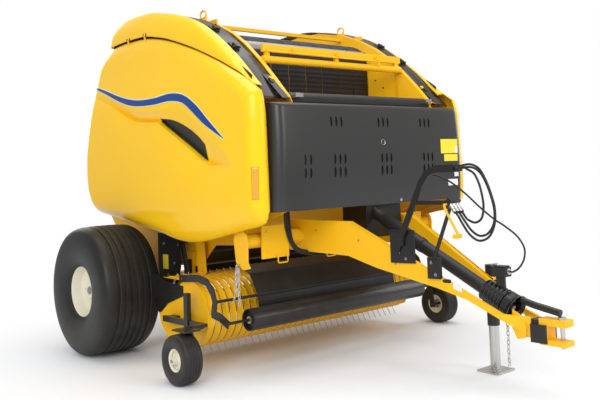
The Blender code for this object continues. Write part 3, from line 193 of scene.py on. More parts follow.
def carry(path: Array, normals: Array, x: Array, off: Array) -> Array:
    """The grid of a section carried along a path in the side view.

    Args:
        path: (n, 2) places, aft and height.
        normals: the direction at each place in which off is measured.
        x: X of the section's m points, or of the n by m points of the grid.
        off: distances of the section's m points from the path.

    Returns:
        An (n, m, 3) grid.
    """
    place = vec(AXLE_Y, 0) + path[:, None] + normals[:, None] * np.asarray(off)[:, None]
    return np.concatenate([np.broadcast_to(x, place.shape[:2])[..., None], place], -1)


class Shape:
    """Surfaces gathered into one mesh."""

    def __init__(self) -> None:
        """Start with nothing."""
        self.points: list[Array] = []
        self.faces: list[tuple[int, ...]] = []
        self.count = 0

    def add(self, points: Array, faces: Iterable[Sequence[int]]) -> "Shape":
        """Add points and the faces that index them."""
        flat = np.asarray(points, float).reshape(-1, 3)
        self.faces.extend(tuple(int(i) + self.count for i in face) for face in faces)
        self.points.append(flat)
        self.count += len(flat)
        return self

    def grid(self, points: Array, close_u: bool = False, close_v: bool = False,
             cap_u: bool = False) -> "Shape":
        """Add a sheet of quads over an (m, n, 3) grid.

        Args:
            points: the grid.
            close_u: join the last row to the first.
            close_v: join the last column to the first.
            cap_u: close the first and the last row with one face each.
        """
        rows, cols = points.shape[:2]
        i = np.arange(rows if close_u else rows - 1)[:, None]
        j = np.arange(cols if close_v else cols - 1)[None, :]
        i2, j2 = (i + 1) % rows, (j + 1) % cols
        quads = np.stack([i * cols + j, i * cols + j2, i2 * cols + j2, i2 * cols + j], -1).reshape(-1, 4)
        faces = [tuple(q) for q in quads.tolist()]
        if cap_u:
            faces.append(tuple(range(cols))[::-1])
            faces.append(tuple((rows - 1) * cols + k for k in range(cols)))
        return self.add(points, faces)

    def tube(self, path: Array, radius: float | Array, sides: int = 12, closed: bool = False) -> "Shape":
        """Add a round tube: a circle carried along the path, kept from twisting by turning with its tangent.

        Args:
            path: (n, 3) points.
            radius: one radius, or one for each point.
            sides: points round the circle.
            closed: the path is a loop.
        """
        path = np.asarray(path, float)
        ahead = np.roll(path, -1, axis=0) - np.roll(path, 1, axis=0)
        if not closed:
            ahead[0], ahead[-1] = path[1] - path[0], path[-1] - path[-2]
        tangent = ahead / np.linalg.norm(ahead, axis=1)[:, None]
        normals = np.empty_like(path)
        seed = vec(0, 0, 1) if abs(tangent[0, 2]) < 0.9 else vec(1, 0, 0)
        normal = seed - tangent[0] * (seed @ tangent[0])
        for k, t in enumerate(tangent):
            normal = normal - t * (normal @ t)
            normal = normal / np.linalg.norm(normal)
            normals[k] = normal
        side = np.cross(tangent, normals)
        turn = np.linspace(0, 2 * np.pi, sides, endpoint=False)
        r = np.broadcast_to(np.asarray(radius, float), (len(path),))[:, None, None]
        rings = path[:, None] + r * (np.cos(turn)[None, :, None] * normals[:, None]
                                     + np.sin(turn)[None, :, None] * side[:, None])
        return self.grid(rings, close_u=closed, close_v=True, cap_u=not closed)

    def rod(self, start: Sequence[float], end: Sequence[float], radius: float, sides: int = 20) -> "Shape":
        """Add a straight round bar."""
        return self.tube(np.array([start, end], float), radius, sides)

    def lathe(self, profile: Array, centre: Sequence[float], axis: Sequence[float] = (1, 0, 0),
              steps: int = 64, closed: bool = True) -> "Shape":
        """Add a turned form: (offset along the axis, radius) pairs carried round the axis.

        Args:
            profile: (n, 2) pairs; a closed loop unless its ends lie on the axis.
            centre: the point at offset 0.
            axis: the axis of turning.
            steps: divisions of the circle.
            closed: join the profile's end to its start.
        """
        along = vec(*axis) / np.linalg.norm(axis)
        seed = vec(0, 0, 1) if abs(along[2]) < 0.9 else vec(0, 1, 0)
        n1 = seed - along * (seed @ along)
        n1 = n1 / np.linalg.norm(n1)
        n2 = np.cross(along, n1)
        turn = np.linspace(0, 2 * np.pi, steps, endpoint=False)
        spoke = np.cos(turn)[:, None] * n1 + np.sin(turn)[:, None] * n2
        offset, radius = np.asarray(profile, float).T
        rings = (vec(*centre) + offset[:, None, None] * along + radius[:, None, None] * spoke[None])
        return self.grid(rings, close_u=closed, close_v=True)

    def box(self, low: Sequence[float], high: Sequence[float]) -> "Shape":
        """Add a box from its lowest to its highest corner."""
        (x0, y0, z0), (x1, y1, z1) = low, high
        corners = [(x, y, z) for x in (x0, x1) for y in (y0, y1) for z in (z0, z1)]
        return self.add(vec(*np.ravel(corners)), [(0, 1, 3, 2), (4, 6, 7, 5), (0, 4, 5, 1),
                                                  (2, 3, 7, 6), (0, 2, 6, 4), (1, 5, 7, 3)])

    def slab(self, outline: Array, across: Array) -> "Shape":
        """Add a flat plate: an outline of (n, 3) points moved by the vector across."""
        ring = np.asarray(outline, float)
        return self.grid(np.stack([ring, ring + across]), close_v=True, cap_u=True)

    def side_plate(self, outline: Sequence[Sequence[float]], x0: float, x1: float) -> "Shape":
        """Add a plate with its (aft, z) outline, from x0 to x1."""
        ring = np.array([(x0, aft(y), z) for y, z in outline])
        return self.slab(ring, vec(x1 - x0, 0, 0))

    def bolt(self, place: Sequence[float], axis: Sequence[float], radius: float = 0.011) -> "Shape":
        """Add a hexagon head on a washer, its seat at place, facing along axis."""
        start, along = vec(*place), vec(*axis) / np.linalg.norm(axis)
        self.rod(start - along * MM, start + along * 2 * MM, radius * 1.25, 16)
        return self.rod(start + along * MM, start + along * radius * 0.75, radius, 6)

    def build(self, name: str, bevel: float = 0.0, segments: int = 2, wall: float = 0.0,
              wall_offset: float = 0.0, merge: float = 0.00001) -> bpy.types.Object:
        """Make the object, its normals out and its place in its mesh.

        Args:
            name: the piece's name.
            bevel: width of the rounded edges, or 0.
            segments: faces across a rounded edge.
            wall: thickness given to an open sheet, or 0.
            wall_offset: -1 to 1, which side of the sheet the wall lies on.
            merge: points closer than this are one.

        Returns:
            The new object, linked to the scene.
        """
        mesh = bpy.data.meshes.new(name)
        mesh.from_pydata(np.vstack(self.points).tolist(), [], self.faces)
        shape = bmesh.new()
        shape.from_mesh(mesh)
        bmesh.ops.remove_doubles(shape, verts=shape.verts, dist=merge)
        bmesh.ops.recalc_face_normals(shape, faces=shape.faces)
        shape.to_mesh(mesh)
        shape.free()
        return dress(mesh, name, bevel, segments, wall, wall_offset)


def dress(mesh: bpy.types.Mesh, name: str, bevel: float, segments: int = 2, wall: float = 0.0,
          wall_offset: float = 0.0) -> bpy.types.Object:
    """An object of the mesh with its wall, its rounded edges and its smooth shading."""
    piece = bpy.data.objects.new(name, mesh)
    bpy.context.scene.collection.objects.link(piece)
    if wall:
        solid = piece.modifiers.new("Wall", "SOLIDIFY")
        solid.thickness = wall
        solid.offset = wall_offset
    if bevel:
        round_off = piece.modifiers.new("Rounded edges", "BEVEL")
        round_off.width = bevel
        round_off.segments = segments
        round_off.limit_method = "ANGLE"
        round_off.angle_limit = BEVEL_ANGLE
        round_off.harden_normals = True
    mesh.shade_smooth()
    mesh.set_sharp_from_angle(angle=SMOOTH_ANGLE)
    return piece


def mirrored(shape: Shape) -> Shape:
    """The same shape on the other side of the machine's middle plane."""
    other = Shape()
    other.points = [p * vec(-1, 1, 1) for p in shape.points]
    other.faces = [f[::-1] for f in shape.faces]
    other.count = shape.count
    return other


def for_side(shape: Shape, side: Side) -> Shape:
    """The shape as drawn for the left side, or mirrored for the right."""
    return shape if side is Side.LEFT else mirrored(shape)


# Finishes.

Socket = bpy.types.NodeSocket


class Nodes:
    """A node tree, with short ways to add to it."""

    def __init__(self, tree: bpy.types.NodeTree) -> None:
        """Work on a tree."""
        self.tree = tree

    def put(self, value: object, socket: Socket) -> None:
        """Link a socket into an input, or give the input a plain value; None leaves it."""
        if isinstance(value, Socket):
            self.tree.links.new(value, socket)
        elif value is not None:
            socket.default_value = value

    def node(self, kind: str, inputs: dict[str | int, object] | None = None,
             **settings: object) -> bpy.types.Node:
        """Add a node, set its properties and fill its inputs with sockets or values."""
        made = self.tree.nodes.new("ShaderNode" + kind)
        for key, value in settings.items():
            setattr(made, key, value)
        for key, value in (inputs or {}).items():
            self.put(value, made.inputs[key])
        return made

    def math(self, operation: str, *values: object, clamp: bool = False) -> Socket:
        """A Math node on sockets or numbers, and its output."""
        return self.node("Math", dict(enumerate(values)), operation=operation, use_clamp=clamp).outputs[0]

    def bump(self, height: Socket, distance: float, before: Socket | None = None) -> Socket:
        """A Bump node after another, and its normal."""
        inputs = {"Height": height, "Distance": distance, "Strength": 1.0, "Normal": before}
        return self.node("Bump", inputs).outputs[0]

    def group(self, word: str, inputs: dict[str, object]) -> dict[str, Socket]:
        """One of the shared groups with its inputs filled, as its outputs by name."""
        made = self.node("Group", node_tree=GROUPS[word])
        for key, value in inputs.items():
            self.put(value, made.inputs[key])
        return {socket.name: socket for socket in made.outputs}


class ShaderGroup(Nodes):
    """A node group with named inputs and outputs, made once."""

    def __init__(self, name: str, takes: dict[str, str | float], gives: dict[str, str]) -> None:
        """Open a group.

        Args:
            name: the group's name.
            takes: each input's kind (Vector, Color or Float), or the starting value of a Float.
            gives: each output's kind.
        """
        super().__init__(bpy.data.node_groups.new(name, "ShaderNodeTree"))
        for word, kind in takes.items():
            number = not isinstance(kind, str)
            made = self.tree.interface.new_socket(
                word, in_out="INPUT", socket_type="NodeSocket" + ("Float" if number else kind))
            if number:
                made.default_value = kind
        for word, kind in gives.items():
            self.tree.interface.new_socket(word, in_out="OUTPUT", socket_type="NodeSocket" + kind)
        self.source = self.tree.nodes.new("NodeGroupInput").outputs
        self.ends = self.tree.nodes.new("NodeGroupOutput").inputs

    def close(self, results: dict[str, Socket]) -> bpy.types.NodeTree:
        """Link the results to the outputs, and give the finished tree."""
        for word, value in results.items():
            self.put(value, self.ends[word])
        return self.tree

    def noise(self, vector: Socket, scale: Socket | float, detail: float) -> Socket:
        """A noise texture's value."""
        return self.node("TexNoise", {"Vector": vector, "Scale": scale, "Detail": detail}).outputs["Fac"]


def ripple_group() -> bpy.types.NodeTree:
    """Paint that has flowed: fine orange peel on a long, faint wave, as a height."""
    g = ShaderGroup("Paint ripple", {"Vector": "Vector", "Peel Scale": 260.0, "Wave Scale": 3.0},
                    {"Height": "Float"})
    peel, wave = (g.noise(g.source["Vector"], g.source[word], 2.0) for word in ("Peel Scale", "Wave Scale"))
    return g.close({"Height": g.math("MULTIPLY_ADD", peel, 0.3, wave)})


def dust_group() -> bpy.types.NodeTree:
    """A thin film of dust that gathers low down and on faces that look up, as a colour and a mask."""
    g = ShaderGroup("Settled dust", {"Vector": "Vector", "Normal": "Vector", "Color": "Color",
                                     "Dust": "Color", "Amount": "Float", "Low": "Float"},
                    {"Color": "Color", "Mask": "Float"})
    blotch = g.noise(g.source["Vector"], 7.0, 6.0)
    height, upward = (g.node("SeparateXYZ", {0: g.source[word]}).outputs["Z"]
                      for word in ("Vector", "Normal"))
    low = g.math("SUBTRACT", 1.0, g.math("DIVIDE", height, g.source["Low"]), clamp=True)
    up = g.math("MULTIPLY", g.math("MAXIMUM", upward, 0.0), 0.35)
    patch = g.math("MULTIPLY", g.math("SUBTRACT", blotch, 0.3, clamp=True), 2.0, clamp=True)
    film = g.math("MULTIPLY", g.math("ADD", low, up), patch)
    mask = g.math("MULTIPLY", film, g.source["Amount"], clamp=True)
    mix = g.node("Mix", {0: mask, 6: g.source["Color"], 7: g.source["Dust"]}, data_type="RGBA")
    return g.close({"Color": mix.outputs[2], "Mask": mask})


def shade_group() -> bpy.types.NodeTree:
    """A colour that drifts a little lighter and darker over the surface."""
    g = ShaderGroup("Shade drift", {"Vector": "Vector", "Color": "Color", "Scale": "Float", "Drift": "Float"},
                    {"Color": "Color", "Value": "Float"})
    noise = g.noise(g.source["Vector"], g.source["Scale"], 5.0)
    tone = g.math("ADD", 1.0, g.math("MULTIPLY", g.math("SUBTRACT", noise, 0.5), g.source["Drift"]))
    scaled = g.node("VectorMath", {0: g.source["Color"], "Scale": tone}, operation="SCALE")
    return g.close({"Color": scaled.outputs[0], "Value": noise})


def grain_group() -> bpy.types.NodeTree:
    """The fine pebble of moulded plastic, rubber or powder coat, as a height."""
    g = ShaderGroup("Pebble grain", {"Vector": "Vector", "Scale": 400.0}, {"Height": "Float"})
    inputs = {word: g.source[word] for word in ("Vector", "Scale")}
    return g.close({"Height": g.node("TexVoronoi", inputs, feature="SMOOTH_F1").outputs["Distance"]})


def scuff_group() -> bpy.types.NodeTree:
    """Fine scratches along one direction, as a mask."""
    g = ShaderGroup("Fine scuffs", {"Vector": "Vector", "Scale": 30.0}, {"Mask": "Float"})
    stretch = g.node("Mapping", {"Vector": g.source["Vector"], "Scale": (1.0, 0.06, 1.0),
                                 "Rotation": (0.3, 0.0, 0.4)}).outputs[0]
    lines = g.math("GREATER_THAN", g.noise(stretch, g.source["Scale"], 8.0), 0.63)
    return g.close({"Mask": g.math("MULTIPLY", lines, 0.6)})


GROUPS: dict[str, bpy.types.NodeTree] = {
    "ripple": ripple_group(), "dust": dust_group(), "shade": shade_group(),
    "grain": grain_group(), "scuff": scuff_group(),
}

Colour = tuple[float, float, float]
DUST_TONE: Colour = (0.42, 0.36, 0.27)
DUST_LOW = 0.9         # dust thins out up to this height
DUST_DULL = 0.35       # what full dust adds to the roughness
DRIFT_DULL = 0.08      # and what the shade's drift adds


@dataclass(frozen=True)
class Finish:
    """A surface of one colour whose shade, gloss and relief vary as the real one's do."""

    name: str
    colour: Colour
    slot: str
    roughness: float = 0.4
    metallic: float = 0.0
    coat: float = 0.0
    coat_roughness: float = 0.08
    drift: float = 0.06
    drift_scale: float = 2.5
    dust: float = 0.25
    scuff: float = 0.0
    peel: float = 0.0        # height of the paint's ripple, m
    grain: float = 0.0       # height of the pebble, m
    grain_scale: float = 420.0
    specular: float = 0.5

    def material(self) -> bpy.types.Material:
        """The finish's material, made once."""
        found = bpy.data.materials.get(self.name)
        return found if found else self._make()

    def _make(self) -> bpy.types.Material:
        """Lay out the nodes: shade, then dust, then gloss and relief."""
        made = bpy.data.materials.new(self.name)
        made.use_nodes = True
        made.diffuse_color = (*self.colour, 1.0)
        nodes = Nodes(made.node_tree)
        shader = made.node_tree.nodes["Principled BSDF"].inputs
        where = nodes.node("TexCoord").outputs
        place = where["Object"]
        shade = nodes.group("shade", {"Vector": place, "Color": (*self.colour, 1.0),
                                      "Scale": self.drift_scale, "Drift": self.drift})
        dust = nodes.group("dust", {"Vector": place, "Normal": where["Normal"], "Color": shade["Color"],
                                    "Dust": (*DUST_TONE, 1.0), "Amount": self.dust, "Low": DUST_LOW})
        rough = nodes.math("MULTIPLY_ADD", dust["Mask"], DUST_DULL, self.roughness, clamp=True)
        rough = nodes.math("MULTIPLY_ADD", shade["Value"], DRIFT_DULL, rough, clamp=True)
        if self.scuff:
            marks = nodes.group("scuff", {"Vector": place})
            rough = nodes.math("MULTIPLY_ADD", marks["Mask"], self.scuff, rough, clamp=True)
        for word, value in (("Base Color", dust["Color"]), ("Roughness", rough), ("Metallic", self.metallic),
                            ("Coat Weight", self.coat), ("Coat Roughness", self.coat_roughness),
                            ("Specular IOR Level", self.specular), ("Normal", self._relief(nodes, place))):
            nodes.put(value, shader[word])
        return made

    def _relief(self, nodes: Nodes, place: Socket) -> Socket | None:
        """The ripple and the pebble as a normal, or nothing for a smooth finish."""
        normal = None
        grain = {"Scale": self.grain_scale}
        for word, height, settings in (("ripple", self.peel, {}), ("grain", self.grain, grain)):
            if height:
                source = nodes.group(word, {"Vector": place, **settings})
                normal = nodes.bump(source["Height"], height, normal)
        return normal


@dataclass(frozen=True)
class BeltRubber(Finish):
    """Woven belt rubber with low cleats across it."""

    cleat_pitch: float = 0.022
    cleat_height: float = 0.003

    def _relief(self, nodes: Nodes, place: Socket) -> Socket:
        """Cleats as bands over Y + Z, which runs along a belt however it lies, on the rubber's pebble."""
        flat = nodes.node("Mapping", {"Vector": place, "Scale": (0.0, 1.0, 1.0)}).outputs[0]
        wave = nodes.node("TexWave", {"Vector": flat, "Scale": 1.0 / (self.cleat_pitch * 3.0),
                                      "Distortion": 0.2}, bands_direction="DIAGONAL").outputs["Fac"]
        grain = nodes.group("grain", {"Vector": place, "Scale": self.grain_scale})
        return nodes.bump(grain["Height"], self.grain, nodes.bump(wave, self.cleat_height))


FRAME_PAINT = Finish("frame paint", (0.93, 0.5, 0.006), "yellow_frame", roughness=0.36, coat=0.12,
                     peel=0.0002, drift=0.08, dust=0.03, scuff=0.06, specular=0.25)
PANEL_PAINT = Finish("panel paint", (0.98, 0.575, 0.006), "yellow_shield", roughness=0.26, coat=0.28,
                     coat_roughness=0.05, peel=0.0001, drift=0.04, drift_scale=1.2, dust=0.0, specular=0.2)
DARK_PANEL = Finish("dark panel", (0.026, 0.025, 0.024), "dark_panel", roughness=0.3, coat=0.2,
                    coat_roughness=0.2, peel=0.0002, grain=0.00003, drift=0.12, drift_scale=1.5, dust=0.04,
                    specular=0.4)
ARCH_PAINT = Finish("arch strip paint", (0.018, 0.016, 0.014), "dark_panel", roughness=0.3, coat=0.15,
                    peel=0.0002, drift=0.12, dust=0.05, scuff=0.03, specular=0.35)
VENT_MESH = Finish("vent mesh", (0.016, 0.016, 0.017), "black_steel", roughness=0.55, grain=0.0008,
                   grain_scale=260.0, drift=0.3, drift_scale=30.0)
BLACK_STEEL = Finish("black steel", (0.01, 0.009, 0.009), "black_steel", roughness=0.34, coat=0.15,
                     grain=0.00005, drift=0.2, dust=0.07, scuff=0.12, specular=0.35)
GLOSS_BLACK = Finish("moulded black", (0.01, 0.01, 0.01), "black_steel", roughness=0.28, coat=0.2,
                     grain=0.00004, drift=0.15, dust=0.03, specular=0.4)
BLACK_RUBBER = Finish("hose rubber", (0.016, 0.016, 0.017), "black_steel", roughness=0.36, grain=0.00006,
                      drift=0.15, dust=0.04, specular=0.35)
BELT = BeltRubber("belt rubber", (0.016, 0.015, 0.014), "belt_rubber", roughness=0.55, grain=0.0001,
                  grain_scale=300.0, drift=0.25, drift_scale=6.0, dust=0.08, specular=0.35)
TYRE_RUBBER = Finish("tyre rubber", (0.008, 0.0075, 0.007), "tyre", roughness=0.42, specular=0.4,
                     grain=0.0002, grain_scale=220.0, drift=0.2, drift_scale=5.0, dust=0.08)
RIM_PAINT = Finish("rim paint", (0.8, 0.76, 0.62), "rim", roughness=0.35, coat=0.2, peel=0.0003,
                   drift=0.06, dust=0.1)
BRIGHT_STEEL = Finish("bright steel", (0.6, 0.59, 0.57), "steel", roughness=0.3, metallic=1.0,
                      drift=0.2, drift_scale=14.0, dust=0.25, scuff=0.2, grain=0.00003)
BARE_STEEL = Finish("worn steel", (0.34, 0.33, 0.32), "steel", roughness=0.42, metallic=0.85,
                    drift=0.3, drift_scale=20.0, dust=0.3, scuff=0.25, grain=0.00008)
AMBER_LENS = Finish("amber lens", (0.85, 0.2, 0.01), "lens", roughness=0.12, coat=0.8, drift=0.1,
                    grain=0.0004, grain_scale=90.0, dust=0.1)
BLUE_STRIPE = Finish("blue stripe", (0.004, 0.05, 0.235), "yellow_shield", roughness=0.32, coat=0.1,
                     peel=0.0001, drift=0.05, dust=0.0, specular=0.2)
PALE_LINE = Finish("pale edge line", (0.72, 0.74, 0.62), "yellow_shield", roughness=0.3, coat=0.4,
                   drift=0.04, dust=0.1)
# Painted shade: a near-black finish that stands for the shade seen inside slots and openings.
PAINTED_OPENING_SHADE = Finish("dark opening", (0.01, 0.01, 0.01), "dark_panel", roughness=0.6, grain=0.0006,
                   grain_scale=120.0, drift=0.2, dust=0.05)
YELLOW_LABEL = Finish("yellow label", (0.9, 0.72, 0.03), "dark_panel", roughness=0.35, drift=0.08, dust=0.1)
WHITE_LABEL = Finish("white label", (0.8, 0.8, 0.78), "dark_panel", roughness=0.35, drift=0.05, dust=0.1)
REFLECTOR = Finish("amber reflector", (0.72, 0.36, 0.02), "lens", roughness=0.18, coat=0.7, drift=0.08,
                   grain=0.0004, grain_scale=160.0, dust=0.1)


def wear(piece: bpy.types.Object, finish: Finish, body: str, *stands_for: str) -> bpy.types.Object:
    """Give a piece its finish and its body, and hide the CAD nodes that it stands for."""
    piece.data.materials.clear()
    piece.data.materials.append(finish.material())
    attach(piece, body)
    if stands_for:
        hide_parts(*stands_for)
    LOG.info("%s rides on %s with %s", piece.name, body, finish.name)
    return piece


def make(shape: Shape, name: str, finish: Finish, body: str = "chassis", nodes: Sequence[str] = (),
         side: Side | None = None, **form: float) -> bpy.types.Object:
    """Build a shape and dress it.

    Args:
        shape: the shape, drawn for the left side if a side is given.
        name: the piece's name, to which the side's word is added.
        finish: what its surface is.
        body: the body that it rides on.
        nodes: the CAD nodes that it stands for.
        side: the side that it is on, or none for a piece that is drawn in its place.
        form: what Shape.build takes besides the name.

    Returns:
        The piece.
    """
    if side is not None:
        shape, name = for_side(shape, side), f"{name}_{side.word}"
    return wear(shape.build(name, **form), finish, body, *nodes)


def body_of(node: str) -> str:
    """The CAD body that a node belongs to."""
    return frame["nodes"][node]["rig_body"]


def refined(node: str, finish: Finish, bevel: float = 0.003) -> bpy.types.Object:
    """A merged copy of a CAD node with rounded edges, which stands for it.

    Args:
        node: the CAD node.
        finish: what its surface is.
        bevel: width of its rounded edges.

    Returns:
        The piece, named after the node.
    """
    name = node + "_finished"
    shape = bmesh.new()
    shape.from_mesh(frame["nodes"][node].data)
    bmesh.ops.remove_doubles(shape, verts=shape.verts, dist=0.00002)
    bmesh.ops.dissolve_limit(shape, angle_limit=math.radians(1.0), verts=shape.verts, edges=shape.edges)
    mesh = bpy.data.meshes.new(name)
    shape.to_mesh(mesh)
    shape.free()
    return wear(dress(mesh, name, bevel), finish, body_of(node), node)


def move_points(piece: bpy.types.Object, shift: Callable[[Array], Array]) -> None:
    """Change the heights of a piece's own points.

    Args:
        piece: the piece, never a CAD mesh.
        shift: gives the new heights of an (n, 3) array of points.
    """
    mesh = piece.data
    flat = np.empty(len(mesh.vertices) * 3)
    mesh.vertices.foreach_get("co", flat)
    points = flat.reshape(-1, 3)
    points[:, 2] = shift(points)
    mesh.vertices.foreach_set("co", points.ravel())
    mesh.update()


def cut_away(piece: bpy.types.Object, cutter: Shape, name: str) -> None:
    """Cut a shape out of a piece, with the piece's other modifiers written into its mesh first.

    Args:
        piece: what is cut.
        cutter: the shape that is taken away.
        name: a name for the cut.
    """
    tool = cutter.build(name)
    cut = piece.modifiers.new(name, "BOOLEAN")
    cut.operation = "DIFFERENCE"
    cut.solver = "EXACT"
    cut.object = tool
    bpy.context.view_layer.update()
    graph = bpy.context.evaluated_depsgraph_get()
    mesh = bpy.data.meshes.new_from_object(piece.evaluated_get(graph))
    mesh.name = piece.data.name
    piece.modifiers.clear()
    piece.data = mesh
    mesh.set_sharp_from_angle(angle=SMOOTH_ANGLE)
    bpy.data.objects.remove(tool, do_unlink=True)


# Wheels.

RIM_SHARE = 0.8         # half the rim's width, as a share of half the tyre's
TYRE_SECTION = 240       # points of a tyre's section
SIDEWALL_RINGS = ((0.3, 0.004), (0.62, 0.003))    # place up the sidewall and height of each moulded ring


@dataclass
class Wheel:
    """A tyre with grooves round its tread, and its dished rim."""

    kind: str                # main or gauge, as the nodes say
    side: Side
    grooves: tuple[float, ...]
    groove_width: float
    groove_depth: float
    zigzag: float
    zigzag_count: int
    steps: int
    dish: float              # how far the disc lies inside the outer flange, as a share of half the width

    def __post_init__(self) -> None:
        """Take the sizes from the CAD nodes."""
        low, high = box_of(f"{self.kind}_tyre_{self.side.word}")
        rim_low, rim_high = box_of(f"{self.kind}_rim_{self.side.word}")
        self.half = (high[0] - low[0]) / 2
        self.radius = (high[2] - low[2]) / 2
        self.bead = (rim_high[2] - rim_low[2]) / 2
        self.centre = vec(*((low + high) / 2))
        self.body = f"{'wheel' if self.kind == 'main' else 'gauge_wheel'}_{self.side.word}"

    def build(self) -> None:
        """Make the tyre, the rim and its hub cap."""
        wear(self._tyre(), TYRE_RUBBER, self.body, f"{self.kind}_tyre_{self.side.word}")
        wear(self._rim(), RIM_PAINT, self.body, f"{self.kind}_rim_{self.side.word}")
        wear(self._hub(), BARE_STEEL, self.body)

    def _rings(self, x: Array, r: Array, turn: Array) -> Array:
        """Points at offsets x and radii r, at each angle round the wheel's axis."""
        return np.stack([self.centre[0] + x + 0 * turn, self.centre[1] + r * np.cos(turn),
                         self.centre[2] + r * np.sin(turn)], -1)

    def _tyre(self) -> bpy.types.Object:
        """The section is a smooth curve from bead to bead; each groove lowers the radius by a rounded notch
        exp(-(2(x - x0) / width)^4), and x0 swings with the sine of the angle round the wheel."""
        half, height = self.half, self.radius - self.bead
        shoulder = [(0.8, 0.0), (0.9, 0.1), (0.965, 0.27), (1.0, 0.55), (0.975, 0.78), (0.9, 0.91),
                    (0.76, 0.972), (0.5, 0.992), (0.25, 1.0)]
        knots = [*shoulder, (0.0, 1.0), *((-x, r) for x, r in reversed(shoulder))]
        section = smooth_curve([(x * half, self.bead + r * height) for x, r in knots], TYRE_SECTION)
        turn = np.linspace(0, 2 * np.pi, self.steps, endpoint=False)
        x, r = section[:, :1], section[:, 1:]
        share = (r - self.bead) / height
        swing = self.zigzag * np.sin(self.zigzag_count * turn)[None, :]
        crown = ease(0.86, 0.97, share)
        for place in self.grooves:
            near = (x - place * half - swing) / (self.groove_width / 2)
            r = r - self.groove_depth * crown * np.exp(-near ** 4)
        for ring, lift in SIDEWALL_RINGS:
            r = r + lift * np.exp(-((share - ring) / 0.015) ** 2) * (1 - crown)
        inner = self.bead + 0.35 * height
        lining_x = half * vec(-0.72, -0.6, 0.6, 0.72)[:, None]
        lining_r = vec(self.bead, inner, inner, self.bead)[:, None]
        grid = np.concatenate([self._rings(x, r, turn), self._rings(lining_x, lining_r, turn)])
        shape = Shape().grid(grid, close_u=True, close_v=True)
        return shape.build(f"{self.kind}_tyre_ribbed_{self.side.word}")

    def _rim(self) -> bpy.types.Object:
        """A turned profile: rolled flange, cone down to the disc, raised hub, and the same flange inside."""
        h, b = self.half * RIM_SHARE, self.bead
        d = h * (1 - self.dish)
        outline = [
            (-h, b + 0.012), (-h - 0.004, b + 0.004), (-h * 0.96, b - 0.006), (-h * 0.8, b - 0.022),
            (-h * 0.55, b - 0.04), (d - 0.02, b * 0.8), (d - 0.028, b * 0.45), (d - 0.03, b * 0.16),
            (d + 0.05, b * 0.16), (d + 0.052, b * 0.3), (d + 0.012, b * 0.34), (d, b * 0.45),
            (d - 0.004, b * 0.62), (d + 0.01, b * 0.76), (h * 0.62, b * 0.9), (h * 0.8, b - 0.014),
            (h * 0.95, b - 0.004), (h + 0.001, b + 0.001), (h + 0.005, b + 0.008), (h, b + 0.014),
            (h * 0.94, b + 0.004), (h * 0.5, b - 0.012), (-h * 0.5, b - 0.012), (-h * 0.94, b + 0.004),
        ]
        profile = np.array(outline) * vec(self.side.value, 1)
        shape = Shape().lathe(profile, self.centre, steps=96)
        return shape.build(f"{self.kind}_rim_dished_{self.side.word}", bevel=0.0015)

    def _hub(self) -> bpy.types.Object:
        """The hub cap in the disc's bore, and the valve."""
        disc, b = self.half * RIM_SHARE * (1 - self.dish), self.bead
        shape = Shape()
        for aside, inner, outer, radius, sides in ((0.0, disc - 0.02, disc + 0.056, b * 0.15, 32),
                                                   (b * 0.6, disc, disc + 0.03, b * 0.02, 12)):
            start, end = (self.centre + vec(self.side.value * x, aside, 0) for x in (inner, outer))
            shape.rod(start, end, radius, sides)
        return shape.build(f"{self.kind}_hub_cap_{self.side.word}", bevel=0.002)


# Side shields.

BORDER_POINTS = 220      # points of each border curve of a shield


